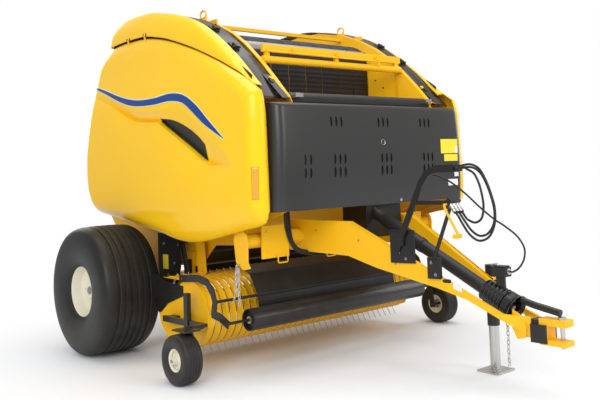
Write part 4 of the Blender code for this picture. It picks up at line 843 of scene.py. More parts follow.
@dataclass
class SideShield:
    """The large hinged side panel: a double-curved sheet with a swept gill, a vent, a stripe and a reflector.

    It is drawn in its side view as a patch between four border curves, and then given its half-width.
    """

    side: Side
    edge_x: float = 1.075          # half-width at the border
    roll: float = 0.11             # width of the rounded border
    columns: int = 220
    rows: tuple[int, ...] = (62, 3, 12, 12, 52)     # up to the lip, sill, vent's top, brow and top border
    crowd: float = 1.6             # power by which the rows crowd towards the low and the top border
    gill_depth: float = 0.058
    gill_least: float = 0.006      # depth that is left near the front border
    gill_ends: tuple[float, float] = (0.6, -0.62)   # the depth begins at the first and is full at the second
    facet: tuple[float, float] = (-1.83, 0.3)       # where the front facet starts, and its length
    lip: float = 0.012             # height of the step under the gill
    step_share: float = 0.45       # share of the depth that is left under the step
    run_out: float = 0.34          # height over which that share runs out
    vent_y: tuple[float, float] = (-1.47, -0.735)
    stripe_y: tuple[float, float] = (-1.76, 0.44)
    stripe_line: float = 0.008     # width of the pale line along the stripe

    front: Pairs = (
        (-2.135, 1.245), (-2.135, 1.36), (-2.13, 1.6), (-2.125, 1.85), (-2.115, 2.02), (-2.085, 2.125))
    top: Pairs = (
        (-2.085, 2.125), (-1.888, 2.25), (-1.685, 2.352), (-1.483, 2.44), (-1.256, 2.53), (-1.05, 2.6),
        (-0.849, 2.662), (-0.61, 2.717), (-0.4, 2.745), (-0.15, 2.753), (0.05, 2.748), (0.2, 2.73),
        (0.35, 2.655))
    rear: Pairs = (
        (0.545, 1.29), (0.605, 1.42), (0.625, 1.62), (0.605, 1.85), (0.555, 2.05), (0.52, 2.25),
        (0.475, 2.45), (0.425, 2.58), (0.35, 2.655))
    low: Pairs = (
        (-2.135, 1.245), (-2.095, 1.17), (-2.02, 1.136), (-1.858, 1.108), (-1.635, 1.062), (-1.387, 1.015),
        (-1.2, 0.99), (-1.06, 0.984), (-0.93, 0.992), (-0.8, 1.013), (-0.638, 1.048), (-0.4, 1.085),
        (-0.176, 1.118), (0.08, 1.15), (0.331, 1.185), (0.47, 1.215), (0.545, 1.29))
    width_rows: Pairs = (
        # height, half-width
        (0.98, 1.14), (1.045, 1.148), (1.09, 1.157), (1.14, 1.166), (1.2, 1.176), (1.24, 1.185),
        (1.33, 1.195), (1.52, 1.2), (1.8, 1.2), (2.03, 1.195), (2.15, 1.185), (2.285, 1.165),
        (2.44, 1.14), (2.62, 1.12), (2.7, 1.105), (2.755, 1.09))
    stripe_top: Pairs = (
        (0.47, 2.4), (0.263, 2.352), (-0.109, 2.25), (-0.42, 2.195), (-0.698, 2.188), (-0.992, 2.202),
        (-1.191, 2.167), (-1.379, 2.073), (-1.556, 1.943), (-1.764, 1.787))
    stripe_low: Pairs = (
        (0.47, 2.385), (0.263, 2.325), (-0.109, 2.205), (-0.347, 2.151), (-0.695, 2.131), (-0.989, 2.139),
        (-1.174, 2.108), (-1.319, 2.029), (-1.472, 1.93), (-1.62, 1.853), (-1.764, 1.785))
    brow: Pairs = (
        # upper edge of the gill, where the panel turns in
        (0.62, 2.375), (0.136, 2.262), (-0.342, 2.11), (-0.719, 2.078), (-1.0, 2.082), (-1.18, 2.04),
        (-1.367, 1.945), (-1.52, 1.845), (-1.66, 1.76), (-1.81, 1.655), (-2.03, 1.5), (-2.15, 1.42))
    vent_top: Pairs = (
        # upper edge of the vent, and past its ends a line in the gill
        (0.62, 2.345), (0.136, 2.235), (-0.342, 2.068), (-0.6, 2.028), (-0.735, 2.012), (-0.982, 1.983),
        (-1.18, 1.922), (-1.367, 1.831), (-1.491, 1.742), (-1.66, 1.68), (-1.81, 1.612), (-2.03, 1.475),
        (-2.15, 1.4))
    sill: Pairs = (
        # lower edge of the gill and of the vent, where the lower panel begins
        (0.62, 2.32), (0.136, 2.205), (-0.342, 2.03), (-0.6, 2.0), (-0.735, 1.99), (-0.86, 1.93),
        (-1.0, 1.862), (-1.22, 1.752), (-1.437, 1.64), (-1.52, 1.608), (-1.66, 1.6), (-1.81, 1.575),
        (-2.03, 1.45), (-2.15, 1.38))

    def __post_init__(self) -> None:
        """Walk the four borders once for the outline."""
        self._borders = [smooth_curve(c, BORDER_POINTS) for c in (self.low, self.rear, self.top, self.front)]
        low, rear, top, front = (b[::3] for b in self._borders)
        self._outline = np.vstack([low[:-1], rear[:-1], top[::-1][:-1], front[::-1][:-1]])

    def patch(self, u: Array, v: Array) -> Array:
        """Coons patch: the borders blended across, less the bilinear blend of the corners.

        Args:
            u: 0 at the front border to 1 at the rear one.
            v: 0 at the low border to 1 at the top one, of the same form as u.

        Returns:
            (aft, height) for each pair.
        """
        at = np.linspace(0, 1, BORDER_POINTS)
        low, rear, top, front = (lambda t, b=b: np.stack([np.interp(t, at, b[:, k]) for k in (0, 1)], -1)
                                 for b in self._borders)
        u1, v1 = u[..., None], v[..., None]
        corners = ((1 - u1) * (1 - v1) * low(vec(0)) + u1 * (1 - v1) * low(vec(1))
                   + (1 - u1) * v1 * top(vec(0)) + u1 * v1 * top(vec(1)))
        return (1 - v1) * low(u) + v1 * top(u) + (1 - u1) * front(v) + u1 * rear(v) - corners

    def _lines(self) -> tuple[Array, Array]:
        """The grid in its side view, its rows drawn along the sill, the vent's top and the brow.

        Each column of the patch is walked finely to find where it crosses the three curves, and the rows
        are spread between those crossings.

        Returns:
            The (rows, columns, 2) grid and the row numbers of the lip, the sill, the vent's top and the brow.
        """
        u = np.linspace(0, 1, self.columns)
        u = 0.35 * u + 0.65 * (u - np.sin(2 * np.pi * u) / (2 * np.pi))
        fine = np.linspace(0, 1, 600)
        walk = self.patch(*np.meshgrid(u, fine))
        start = np.linspace(0, 1, self.rows[0], endpoint=False)
        rise = np.linspace(0, 1, self.rows[-1] + 1)
        start = 0.5 * start + 0.5 * start ** self.crowd
        rise = 0.5 * rise + 0.5 * (1 - (1 - rise) ** self.crowd)
        columns = []
        for k in range(self.columns):
            y, z = walk[:, k, 0], walk[:, k, 1]
            sill, vent, brow = (curve_at(curve, y) for curve in (self.sill, self.vent_top, self.brow))
            crossed = (float(np.interp(0.0, z - line, fine)) for line in (sill - self.lip, sill, vent, brow))
            cuts = [0.0, *crossed, 1.0]
            spans = [np.linspace(a, b, n, endpoint=False) for a, b, n in zip(cuts, cuts[1:], self.rows)]
            spans[0] = cuts[1] * start
            spans[-1] = cuts[-2] + (1 - cuts[-2]) * rise
            columns.append(np.concatenate(spans))
        v = np.array(columns).T
        return self.patch(u[None, :] + 0 * v, v), np.cumsum(self.rows[:4])

    def depth(self, y: Array, z: Array) -> Array:
        """How far the gill turns in at (aft, z).

        The depth grows evenly from the brow to the sill and steps back at the lip to a share of itself,
        which runs out below as a square. Along the panel it fades to the rear, and forward of the vent it
        runs out as a flat facet.
        """
        brow, sill = curve_at(self.brow, y), curve_at(self.sill, y)
        into = np.clip((brow - z) / np.maximum(brow - sill, 0.015), 0.0, 1.0)
        run_out = self.step_share * np.clip(1 - (sill - self.lip - z) / self.run_out, 0.0, 1.0) ** 2
        step = np.clip((sill - z) / self.lip, 0.0, 1.0)
        shape = np.where(z >= sill, into, (1 - step) + step * run_out)
        along = ease(*self.gill_ends, y) * np.clip((y - self.facet[0]) / self.facet[1], 0.0, 1.0)
        ends = ease(0.62, 0.35, y)
        return (self.gill_least * ease(-2.0, -1.8, y) + self.gill_depth * along) * shape * ends

    def face_x(self, y: Array, z: Array) -> Array:
        """Half-width of the outer face at (aft, z): the height's width, rolled in at the border by a quarter
        round of the distance to the outline, less the gill."""
        near = np.clip(distance_to_outline(y, z, self._outline) / self.roll, 0.0, 1.0)
        roll = np.sqrt(1 - (1 - near) ** 2)
        wide = curve_at(self.width_rows, z)
        return self.edge_x + (wide - self.edge_x) * roll - self.depth(y, z) * roll

    def on_face(self, y: Array, z: Array, out: float = 0.0) -> Array:
        """Points on the outer face, moved out by a little."""
        return np.stack([self.face_x(y, z) + out, aft(0) + y, z], -1)

    def build(self) -> None:
        """Make the panel with its vent and the mesh behind it, the hinge knuckles, stripe and reflector."""
        lines, marks = self._lines()
        y, z = lines[..., 0], lines[..., 1]
        points = self.on_face(y, z, -0.0002)
        sheet = Shape().grid(points)
        sill, vent = int(marks[1]), int(marks[2])
        middle = y[(sill + vent) // 2]
        cells = np.flatnonzero((middle > self.vent_y[0]) & (middle < self.vent_y[1]))
        left_out = {row * (self.columns - 1) + int(c) for row in range(sill, vent) for c in cells[:-1]}
        sheet.faces = [face for k, face in enumerate(sheet.faces) if k not in left_out]
        self._put(sheet, "shield_panel", PANEL_PAINT, [f"side_shield_{self.side.word}"],
                  wall=0.006, wall_offset=-1.0)
        behind = points[sill - 5:vent + 4, cells[0] - 3:cells[-1] + 3] - vec(0.024, 0, 0)
        self._put(Shape().grid(behind), "vent_mesh", VENT_MESH, wall=0.002, wall_offset=-1.0)
        self._hinges()
        self._stripe()
        y, z = np.meshgrid(np.linspace(-2.112, -2.072, 8), np.linspace(1.335, 1.57, 16))
        reflector = Shape().grid(self.on_face(y, z, LIFT))
        self._put(reflector, "reflector", REFLECTOR, wall=LABEL_THICK, wall_offset=1.0)

    def _put(self, shape: Shape, name: str, finish: Finish, nodes: Sequence[str] = (), **form: float) -> None:
        """Dress a shape as a piece of this shield, on the shield's own body."""
        make(shape, name, finish, f"shield_{self.side.word}", nodes, self.side, **form)

    def _hinges(self) -> None:
        """Knuckles that hang the panel on the upper cover's pins."""
        x, z, half = HINGE_X, HINGE_Z, 0.009
        shape = Shape()
        for y in HINGE_Y:
            shape.box((x - 0.005, aft(y) - half, z - 0.045), (x + 0.005, aft(y) + half, z - 0.006))
            shape.rod((x, aft(y) - half, z), (x, aft(y) + half, z), 0.011, 24)
        self._put(shape, "shield_knuckles", PANEL_PAINT, bevel=0.001)

    def _band(self, widen: float, out: float, name: str, finish: Finish) -> None:
        """A thin sheet on the face between the stripe's two curves, each moved away from it by widen."""
        y = np.linspace(*self.stripe_y, 220)
        t = np.linspace(0, 1, 8)[:, None]
        upper, lower = (curve_at([(a, z + move) for a, z in curve], y)
                        for curve, move in ((self.stripe_top, widen), (self.stripe_low, -widen)))
        face = self.on_face(y + 0 * t, lower + (upper - lower) * t, out)
        self._put(Shape().grid(face), name, finish, wall=0.0004, wall_offset=1.0)

    def _stripe(self) -> None:
        """The blue swoosh with a pale line along both its edges."""
        self._band(self.stripe_line, LIFT, "stripe_edge", PALE_LINE)
        self._band(0.0, 2 * LIFT, "stripe", BLUE_STRIPE)


@dataclass
class Covers:
    """The yellow upper cover and the dark arch strip on one side."""

    side: Side
    inner_x: float = 1.0       # the cover's inner edge
    strip_x: float = 0.8325      # the strip's inner edge
    outline_rows: tuple[tuple[float, float, float, float], ...] = (
        # aft, height at the arch strip, height at the seam, half-width at the seam
        (0.262, 2.86, 2.75, 1.05), (0.252, 2.905, 2.752, 1.08), (0.225, 2.94, 2.754, 1.088),
        (0.16, 2.972, 2.756, 1.092), (0.0, 2.994, 2.764, 1.095), (-0.2, 2.996, 2.768, 1.095),
        (-0.386, 2.988, 2.765, 1.095), (-0.5, 2.972, 2.752, 1.095), (-0.61, 2.95, 2.73, 1.096),
        (-0.766, 2.916, 2.697, 1.098), (-1.0, 2.848, 2.628, 1.1), (-1.178, 2.778, 2.568, 1.1),
        (-1.328, 2.697, 2.512, 1.1), (-1.489, 2.592, 2.448, 1.1), (-1.6, 2.51, 2.4, 1.098),
        (-1.725, 2.413, 2.342, 1.097), (-1.842, 2.308, 2.283, 1.09), (-1.93, 2.226, 2.224, 1.08),
        (-1.985, 2.18, 2.188, 1.066))
    arch: Triples = (
        # aft, height, outer x
        (0.215, 2.93, 1.002), (0.16, 2.962, 1.003), (0.0, 2.984, 1.004), (-0.2, 2.986, 1.004),
        (-0.386, 2.978, 1.004), (-0.61, 2.94, 1.004), (-0.766, 2.906, 1.004), (-1.0, 2.838, 1.004),
        (-1.178, 2.768, 1.004), (-1.328, 2.69, 1.004), (-1.489, 2.586, 1.004), (-1.6, 2.503, 1.004),
        (-1.725, 2.408, 1.008), (-1.842, 2.3, 1.02), (-1.937, 2.196, 1.034), (-2.055, 2.072, 1.04))

    def build(self) -> None:
        """Make both sheets, the hinge leaves and what is fixed on the strip."""
        self._cover()
        self._seam()
        self._strip()
        self._pulls()
        self._box_on_strip()

    def _put(self, shape: Shape, name: str, finish: Finish, nodes: Sequence[str] = (), **form: float) -> None:
        """Dress a shape as a piece of this side's covers."""
        make(shape, name, finish, "chassis", nodes, self.side, **form)

    def _cover(self) -> None:
        """A quarter round from the arch strip to the seam, its height and width carried smoothly along Y."""
        rows = smooth_curve(self.outline_rows, 120)
        turn = np.linspace(0, np.pi / 2, 20)[None, :]
        y, top, seam, wide = (rows[:, k:k + 1] for k in range(4))
        x = self.inner_x + (wide - self.inner_x) * np.sin(turn)
        z = seam + (top - seam) * np.cos(turn)
        points = np.stack([x, AXLE_Y + y + 0 * turn, z], -1)
        points = np.concatenate([points[:, :1] - vec(0.0, 0, 0.014), points], axis=1)
        self._put(Shape().grid(points), "upper_cover_sheet", PANEL_PAINT, [f"upper_cover_{self.side.word}"],
                  wall=0.005, wall_offset=-1)

    def _seam(self) -> None:
        """The hinge leaves and pins, and the dark seal behind the seam between cover and shield."""
        leaves = Shape()
        for middle in HINGE_Y:
            for start in (middle - 0.03, middle + 0.016):
                leaves.box((1.085, aft(start), 2.758), (1.097, aft(start) + 0.014, 2.79))
            start, end = ((HINGE_X, aft(middle + d), HINGE_Z) for d in (-0.03, 0.03))
            leaves.rod(start, end, 0.005, 16)
        self._put(leaves, "hinge_leaves", BLACK_STEEL, bevel=0.001)
        rows = smooth_curve(self.outline_rows[1:-1], 90)
        x, rise = vec(1.046, 1.05, 1.046), vec(0.035, -0.02, -0.06)
        seal = carry(rows[:, [0, 2]], np.tile(vec(0, 1), (len(rows), 1)), x, rise)
        self._put(Shape().grid(seal), "seam_seal", BLACK_RUBBER, wall=0.003)

    def _strip(self) -> None:
        """The arch strip, a sheet with a lip turned down along both edges, that follows the walls' front
        curve and goes on over the top under the cover's inner edge."""
        path = smooth_curve(self.arch, 90)
        normal = normals_along(path[:, :2])
        normal = normal * np.where(normal[:, 1:] < 0, -1, 1)
        share, off = np.array([(0.0, -0.012), (0.0, -0.003), (0.02, 0.0), (0.5, 0.004), (0.98, 0.0),
                               (1.0, -0.003), (1.0, -0.014)]).T
        grid = carry(path[:, :2], normal, self.strip_x + (path[:, 2:] - self.strip_x) * share, off)
        self._put(Shape().grid(grid), "arch_strip", ARCH_PAINT, [f"arch_cover_{self.side.word}"],
                  wall=0.003, wall_offset=-1)

    def _on_strip(self, y: float, out: float = 0.0) -> tuple[float, float]:
        """The (aft, z) of the strip at a place along it, moved off it by a little."""
        table = sorted((row[0], row[1]) for row in self.arch)
        z, after, before = (float(curve_at(table, vec(y + d))[0]) for d in (0.0, 0.02, -0.02))
        slope = (after - before) / 0.04
        across = vec(-slope, 1.0) / math.hypot(slope, 1.0)
        return y + across[0] * out, z + across[1] * out

    def _block(self, shape: Shape, y: float, x: float, size: tuple[float, float, float],
               out: float = 0.0) -> None:
        """Add a block lying on the strip.

        Args:
            shape: what it is added to.
            y: its middle along the strip, aft of the axle.
            x: its middle across the strip.
            size: its size across, along and off the strip.
            out: how far its foot stands off the strip.
        """
        (y0, z0), (y1, z1) = self._on_strip(y - size[1] / 2, out), self._on_strip(y + size[1] / 2, out)
        along = vec(0, y1 - y0, z1 - z0)
        up = vec(0, -(z1 - z0), y1 - y0) / math.hypot(y1 - y0, z1 - z0)
        corner, across = vec(x - size[0] / 2, AXLE_Y + y0, z0), vec(size[0], 0, 0)
        shape.slab(np.array([corner, corner + across, corner + across + along, corner + along]), up * size[2])

    def _pulls(self) -> None:
        """The two rubber pulls that hold the shield: a pad, a block and the bar that is pulled."""
        pulls, x = Shape(), 0.955
        for y in (-1.3, -1.571):
            self._block(pulls, y, x, (0.05, 0.095, 0.01))
            self._block(pulls, y - 0.012, x, (0.026, 0.052, 0.024), 0.01)
            bar_y, bar_z = self._on_strip(y - 0.03, 0.02)
            pulls.rod((x - 0.034, aft(bar_y), bar_z), (x + 0.034, aft(bar_y), bar_z), 0.01, 16)
        self._put(pulls, "shield_pulls", BLACK_RUBBER, bevel=0.003)

    def _box_on_strip(self) -> None:
        """The small flat box at the strip's low end, its catch, and the steel angle at the strip's foot."""
        box_, catch, angle = Shape(), Shape(), Shape()
        self._block(box_, -1.985, 0.872, (0.07, 0.24, 0.005))
        for y, x in ((-1.925, 0.88), (-1.985, 0.892), (-2.03, 0.872)):
            self._block(box_, y, x, (0.022, 0.034, 0.022), 0.005)
        self._block(catch, -1.905, 0.862, (0.03, 0.02, 0.02), 0.0052)
        self._block(catch, -2.06, 0.862, (0.034, 0.05, 0.012), 0.0052)
        angle.box((0.7, aft(-2.104), 2.086), (0.775, aft(-2.06), 2.09))
        angle.box((0.7, aft(-2.104), 2.09), (0.775, aft(-2.1), 2.118))
        self._put(box_, "arch_box", BLACK_STEEL, bevel=0.004)
        self._put(catch, "arch_box_catch", FRAME_PAINT, bevel=0.002)
        self._put(angle, "arch_end_bracket", BARE_STEEL, bevel=0.001)


# Front hood.

@dataclass
class FrontHood:
    """The wide dark front panel with its louvres and blank labels."""

    y: float = -2.19
    low: float = 1.237
    top: float = 2.037
    half_low: float = 1.055
    half_top: float = 1.035
    corner: float = 0.075
    slot_pitch: float = 0.053
    slot_half: tuple[float, float] = (0.0125, 0.04)     # half a louvre slot's width and height
    brow: float = 0.035          # height and depth of the rounding along the top edge
    louvres: tuple[tuple[float, tuple[tuple[float, int], ...]], ...] = (
        # height, (middle of a group, number of slots)
        (1.897, ((-0.464, 3), (0.049, 3), (0.552, 3))),
        (1.608, ((-0.765, 2), (-0.443, 3), (0.068, 3), (0.575, 3))),
        (1.51, ((-0.765, 2), (-0.443, 3), (0.068, 3), (0.575, 3))))

    def half(self, z: Array) -> Array:
        """Half-width at heights z."""
        t = (z - self.low) / (self.top - self.low)
        return self.half_low + (self.half_top - self.half_low) * t

    def bulge(self, z: Array) -> Array:
        """How far the face stands forward at heights z: a parabola, nothing at the top and low edges."""
        share = (2 * z - self.top - self.low) / (self.top - self.low)
        return 0.02 * (1 - share ** 2)

    def section(self, count: int) -> tuple[Array, Array]:
        """The plan view of half the panel: flat, then a quarter round, then a short side.

        Returns:
            Distance in from the edge and distance aft of the face, as two arrays.
        """
        turn = np.linspace(0, np.pi / 2, count)
        inward = np.concatenate([self.corner * (1 - np.sin(turn)), [0.0, 0.0]])
        back = np.concatenate([self.corner * (1 - np.cos(turn)), [self.corner + 0.03, self.corner + 0.055]])
        return inward, back

    def face_y(self, z: float, out: float = 0.0) -> float:
        """Row-frame Y of the face at a height, moved forward by a little."""
        return AXLE_Y + self.y - float(self.bulge(z)) - out

    def build(self) -> None:
        """Make the panel, cut its louvres, and add its feet and labels."""
        turn = np.linspace(0.2, np.pi / 2, 7)
        z = np.concatenate([np.linspace(self.low, self.top - self.brow, 24),
                            self.top - self.brow + self.brow * np.sin(turn)])
        lean = np.concatenate([np.zeros(24), self.brow * (1 - np.cos(turn))]) - self.bulge(z)
        inward, back = self.section(9)
        z, lean = z[:, None], lean[:, None]
        edge = self.half(z)
        right = np.stack([edge - inward, AXLE_Y + self.y + back + lean, z + 0 * inward], -1)
        flat_x = (edge - self.corner) * np.linspace(-1, 1, 14)[1:-1]
        flat = np.stack([flat_x, AXLE_Y + self.y + lean + 0 * flat_x, z + 0 * flat_x], -1)
        rows = np.concatenate([right[:, ::-1] * vec(-1, 1, 1), flat, right], axis=1)
        panel = Shape().grid(rows).build("hood_panel", wall=0.004, wall_offset=-1)
        self._cut_louvres(panel)
        wear(panel, DARK_PANEL, "chassis", "front_hood")
        self._feet()
        self._labels()
        self._badge()

    def louvre_places(self) -> list[tuple[float, float]]:
        """Middles of all louvre slots, as (x, z)."""
        return [(middle + (k - (count - 1) / 2) * self.slot_pitch, z)
                for z, groups in self.louvres for middle, count in groups for k in range(count)]

    def _cut_louvres(self, panel: bpy.types.Object) -> None:
        """Cut a pointed slot at each place, and set a dark sheet behind them all as painted shade for what is
        seen through them.
        """
        turn = np.linspace(0, 2 * np.pi, 24, endpoint=False)
        across = self.slot_half[0] * np.sign(np.cos(turn)) * np.abs(np.cos(turn)) ** 1.3
        upward = self.slot_half[1] * np.sin(turn)
        cutter = Shape()
        for x, z in self.louvre_places():
            start = np.full_like(turn, self.face_y(z, 0.03))
            cutter.slab(np.stack([x + across, start, z + upward], -1), vec(0, 0.07, 0))
        cut_away(panel, cutter, "louvre_cutter")
        # Painted shade: this dark sheet stands in for the shade inside the hood behind the louvres.
        x, z = np.meshgrid(np.linspace(-0.9, 0.9, 12), np.linspace(1.4, 1.97, 24))
        sheet = np.stack([x, AXLE_Y + self.y - self.bulge(z) + 0.012, z], -1)
        make(Shape().grid(sheet), "louvre_backing", PAINTED_OPENING_SHADE, wall=0.002)

    def _feet(self) -> None:
        """The brackets that carry the panel on the chamber walls."""
        shape = Shape()
        for sign in (-1, 1):
            for z in (1.4, 1.75):
                x0, x1 = sorted((sign * 0.768, sign * 0.826))
                shape.box((x0, aft(self.y + 0.006), z), (x1, aft(-2.1005), z + 0.1))
        make(shape, "hood_feet", BLACK_STEEL, bevel=0.002)

    def _labels(self) -> None:
        """Blank plates where the panel carries labels."""
        yellow, white = Shape(), Shape()
        for shape, x0, x1, z0, z1 in (
                (yellow, 0.745, 0.972, 1.634, 1.758), (yellow, 0.785, 0.966, 1.566, 1.626),
                (white, 0.92, 0.974, 1.43, 1.466), (white, 0.834, 0.965, 1.352, 1.407)):
            face = min(self.face_y(z, LIFT) for z in (z0, z1, (z0 + z1) / 2))
            shape.box((x0, face, z0), (x1, face + LABEL_THICK, z1))
        face = self.face_y(1.665, 3 * LIFT)
        white.box((0.934, face, 1.636), (0.97, face + LABEL_THICK, 1.696))
        make(yellow, "hood_labels_yellow", YELLOW_LABEL)
        make(white, "hood_labels_white", WHITE_LABEL)

    def _badge(self) -> None:
        """The bare ring of the round badge, and the catch under it."""
        (x, z), ring = (0.235, 1.2605), (0.035, 1.735)
        face = self.face_y(1.253, LIFT)
        steel = Shape().rod((x, face + 0.006, z), (x, face - 0.004, z), 0.013, 24)
        profile = [(0.004, 0.024), (0.0, 0.0235), (-0.0025, 0.022), (0.0005, 0.0195), (0.004, 0.019)]
        steel.lathe(np.array(profile), (ring[0], self.face_y(ring[1], LIFT), ring[1]), (0, 1, 0), 40)
        make(steel, "hood_badge_and_catch", BRIGHT_STEEL, bevel=0.0008)


# Chamber.

WALL_INNER = 0.7875      # inner face of the chamber's walls


@dataclass
class Belts:
    """The belts of the chamber's front run or of the tailgate, with their rollers."""

    name: str
    body: str
    path: Pairs
    rollers: Pairs
    roller_radius: float = 0.06
    count: int = 8
    gap: float = 0.007
    thickness: float = 0.011

    def build(self) -> None:
        """Each belt is a strip of constant section along one smooth path, its edges a little thinner."""
        low, high = box_of(self.name)
        half = min(-low[0], high[0]) - 0.0197
        width = (2 * half - (self.count - 1) * self.gap) / self.count
        path = smooth_curve(self.path, 70)
        normals = normals_along(path)
        t, edge = self.thickness / 2, 0.006
        off = t * vec(-0.6, -1, -1, -0.6, 0.6, 1, 1, 0.6)
        shape = Shape()
        for i in range(self.count):
            x0 = -half + i * (width + self.gap)
            x1 = x0 + width
            ring = vec(x0, x0 + edge, x1 - edge, x1, x1, x1 - edge, x0 + edge, x0)
            shape.grid(carry(path, normals, ring, off), close_v=True, cap_u=True)
        make(shape, f"{self.name}_run", BELT, self.body, [self.name])
        rollers = Shape()
        for y, z in self.rollers:
            rollers.rod((low[0], aft(y), z), (high[0], aft(y), z), self.roller_radius, 40)
        make(rollers, f"{self.name}_rollers", BARE_STEEL, self.body, bevel=0.003)


@dataclass
class ChamberFrame:
    """Walls, beams, tailgate, axle and tongue: CAD forms with rounded edges, bolts and brackets."""

    single: tuple[tuple[Finish, tuple[tuple[str, float], ...]], ...] = (
        # finish, (node, width of its rounded edges)
        (FRAME_PAINT, (("tailgate_frame", 0.002), ("axle_beam", 0.005), ("top_beam", 0.003),
                       ("tongue", 0.004), ("cross_tube", 0.003), ("hitch_clevis", 0.004),
                       ("crank_handle", 0.001))),
        (BLACK_STEEL, (("starter_roller", 0.003), ("floor_roller", 0.003), ("front_trough", 0.003),
                       ("hitch_block", 0.003), ("gearbox", 0.008), ("jack_tube", 0.003),
                       ("hose_bracket", 0.002))),
        (BRIGHT_STEEL, (("hitch_pin", 0.002), ("jack_leg", 0.003))))
    paired: tuple[tuple[Finish, tuple[tuple[str, float], ...]], ...] = (
        (FRAME_PAINT, (("chamber_wall", 0.0015), ("lift_bracket", 0.003))),
        (BLACK_STEEL, (("ram_barrel", 0.003), ("drive_plate", 0.002), ("gauge_arm", 0.002))),
        (BRIGHT_STEEL, (("ram_rod", 0.001),)),
        (AMBER_LENS, (("tail_lamp", 0.006),)))
    rail_y: tuple[float, ...] = (-3.6, -3.437, -3.18, -2.95)      # places along the tongue's rails
    rail_upper: tuple[float, ...] = (0.5, 0.6, 0.712, 0.812)   # their upper edge in the CAD
    rail_lower: tuple[float, ...] = (0.365, 0.47, 0.595, 0.664)   # and their lower edge
    rail_drop: tuple[float, ...] = (0.0, 0.085, 0.062, 0.0)        # how far the upper edge comes down
    rod_y: float = -1.752
    rod_radius: float = 0.0085
    beam_foot: float = 2.495     # what lies above this is the beam itself

    def build(self) -> None:
        """Refine each CAD form, then change and add what the photo shows."""
        for finish, nodes in self.single:
            for node, bevel in nodes:
                refined(node, finish, bevel)
        for finish, nodes in self.paired:
            for node, bevel in nodes:
                for side in Side:
                    refined(f"{node}_{side.word}", finish, bevel)
        move_points(bpy.data.objects["tongue_finished"], self._lowered_rails)
        move_points(bpy.data.objects["top_beam_finished"], self._lowered_beam)
        self._beam_rod()
        self._bolts()

    def _lowered_rails(self, points: Array) -> Array:
        """Heights with the upper edge of the tongue's rails brought down beside the bell."""
        y, z = points[:, 1] - AXLE_Y, points[:, 2]
        upper, lower, drop = (np.interp(y, self.rail_y, row)
                              for row in (self.rail_upper, self.rail_lower, self.rail_drop))
        high = (z > (upper + lower) / 2) & (y > self.rail_y[0]) & (y < self.rail_y[-1])
        return z - np.where(high, drop, 0.0)

    def _lowered_beam(self, points: Array) -> Array:
        """Heights with the top beam brought down and made thinner."""
        z = points[:, 2]
        return np.where(z > self.beam_foot, 2.48 + (z - 2.5) * 0.72, z)

    def _beam_rod(self) -> None:
        """The thin rod along the front of the top beam in its clips, the rail across the top behind it, and
        the folds of the walls with their bolts."""
        y, end_x = aft(self.rod_y), 0.465
        rod = Shape().rod((-0.765, y, 2.484), (end_x, y, 2.478), self.rod_radius, 16)
        hook = [(end_x, y, 2.478), (end_x + 0.02, y, 2.47), (end_x + 0.022, y, 2.44)]
        rod.tube(np.array(hook), self.rod_radius, 12)
        for x in (-0.488, -0.006, 0.462):
            rod.box((x - 0.012, aft(-1.7625), 2.488), (x + 0.012, aft(-1.731), 2.518))
        rod.box((-WALL_INNER, aft(-0.938), 2.796), (WALL_INNER, aft(-0.906), 2.828))
        bolts = Shape()
        for sign in (-1, 1):
            for inner, outer, y0, y1, z0, z1 in ((0.8325, 0.846, -1.178, -1.085, 2.782, 2.822),
                                                 (0.781, WALL_INNER, -1.7, -1.655, 2.15, 2.395)):
                x0, x1 = sorted((sign * inner, sign * outer))
                rod.box((x0, aft(y0), z0), (x1, aft(y1), z1))
            for y, z in ((-1.4, 2.36), (-1.5, 2.28), (-1.4, 2.2)):
                bolts.bolt((sign * 0.7872, aft(y), z), (-sign, 0, 0), 0.007)
        make(rod, "beam_rod", FRAME_PAINT, bevel=0.002)
        make(bolts, "wall_inner_bolts", BLACK_STEEL, bevel=0.0006)

    def _bolts(self) -> None:
        """Bolt heads on the walls' outer faces and on the cross tube's plates."""
        shape = Shape()
        for sign in (-1, 1):
            for y, z in ((-1.55, 1.17), (-1.3, 1.02), (-0.6, 0.8), (-0.3, 0.78), (-0.95, 0.97)):
                shape.bolt((sign * 0.7965, aft(y), z), (sign, 0, 0), 0.009)
            for z in (0.92, 1.07):
                for x in (0.69, 0.86):
                    shape.bolt((sign * x, aft(-1.8003), z), (0, -1, 0), 0.009)
        make(shape, "frame_bolts", FRAME_PAINT, bevel=0.0008)


# Pick-up.

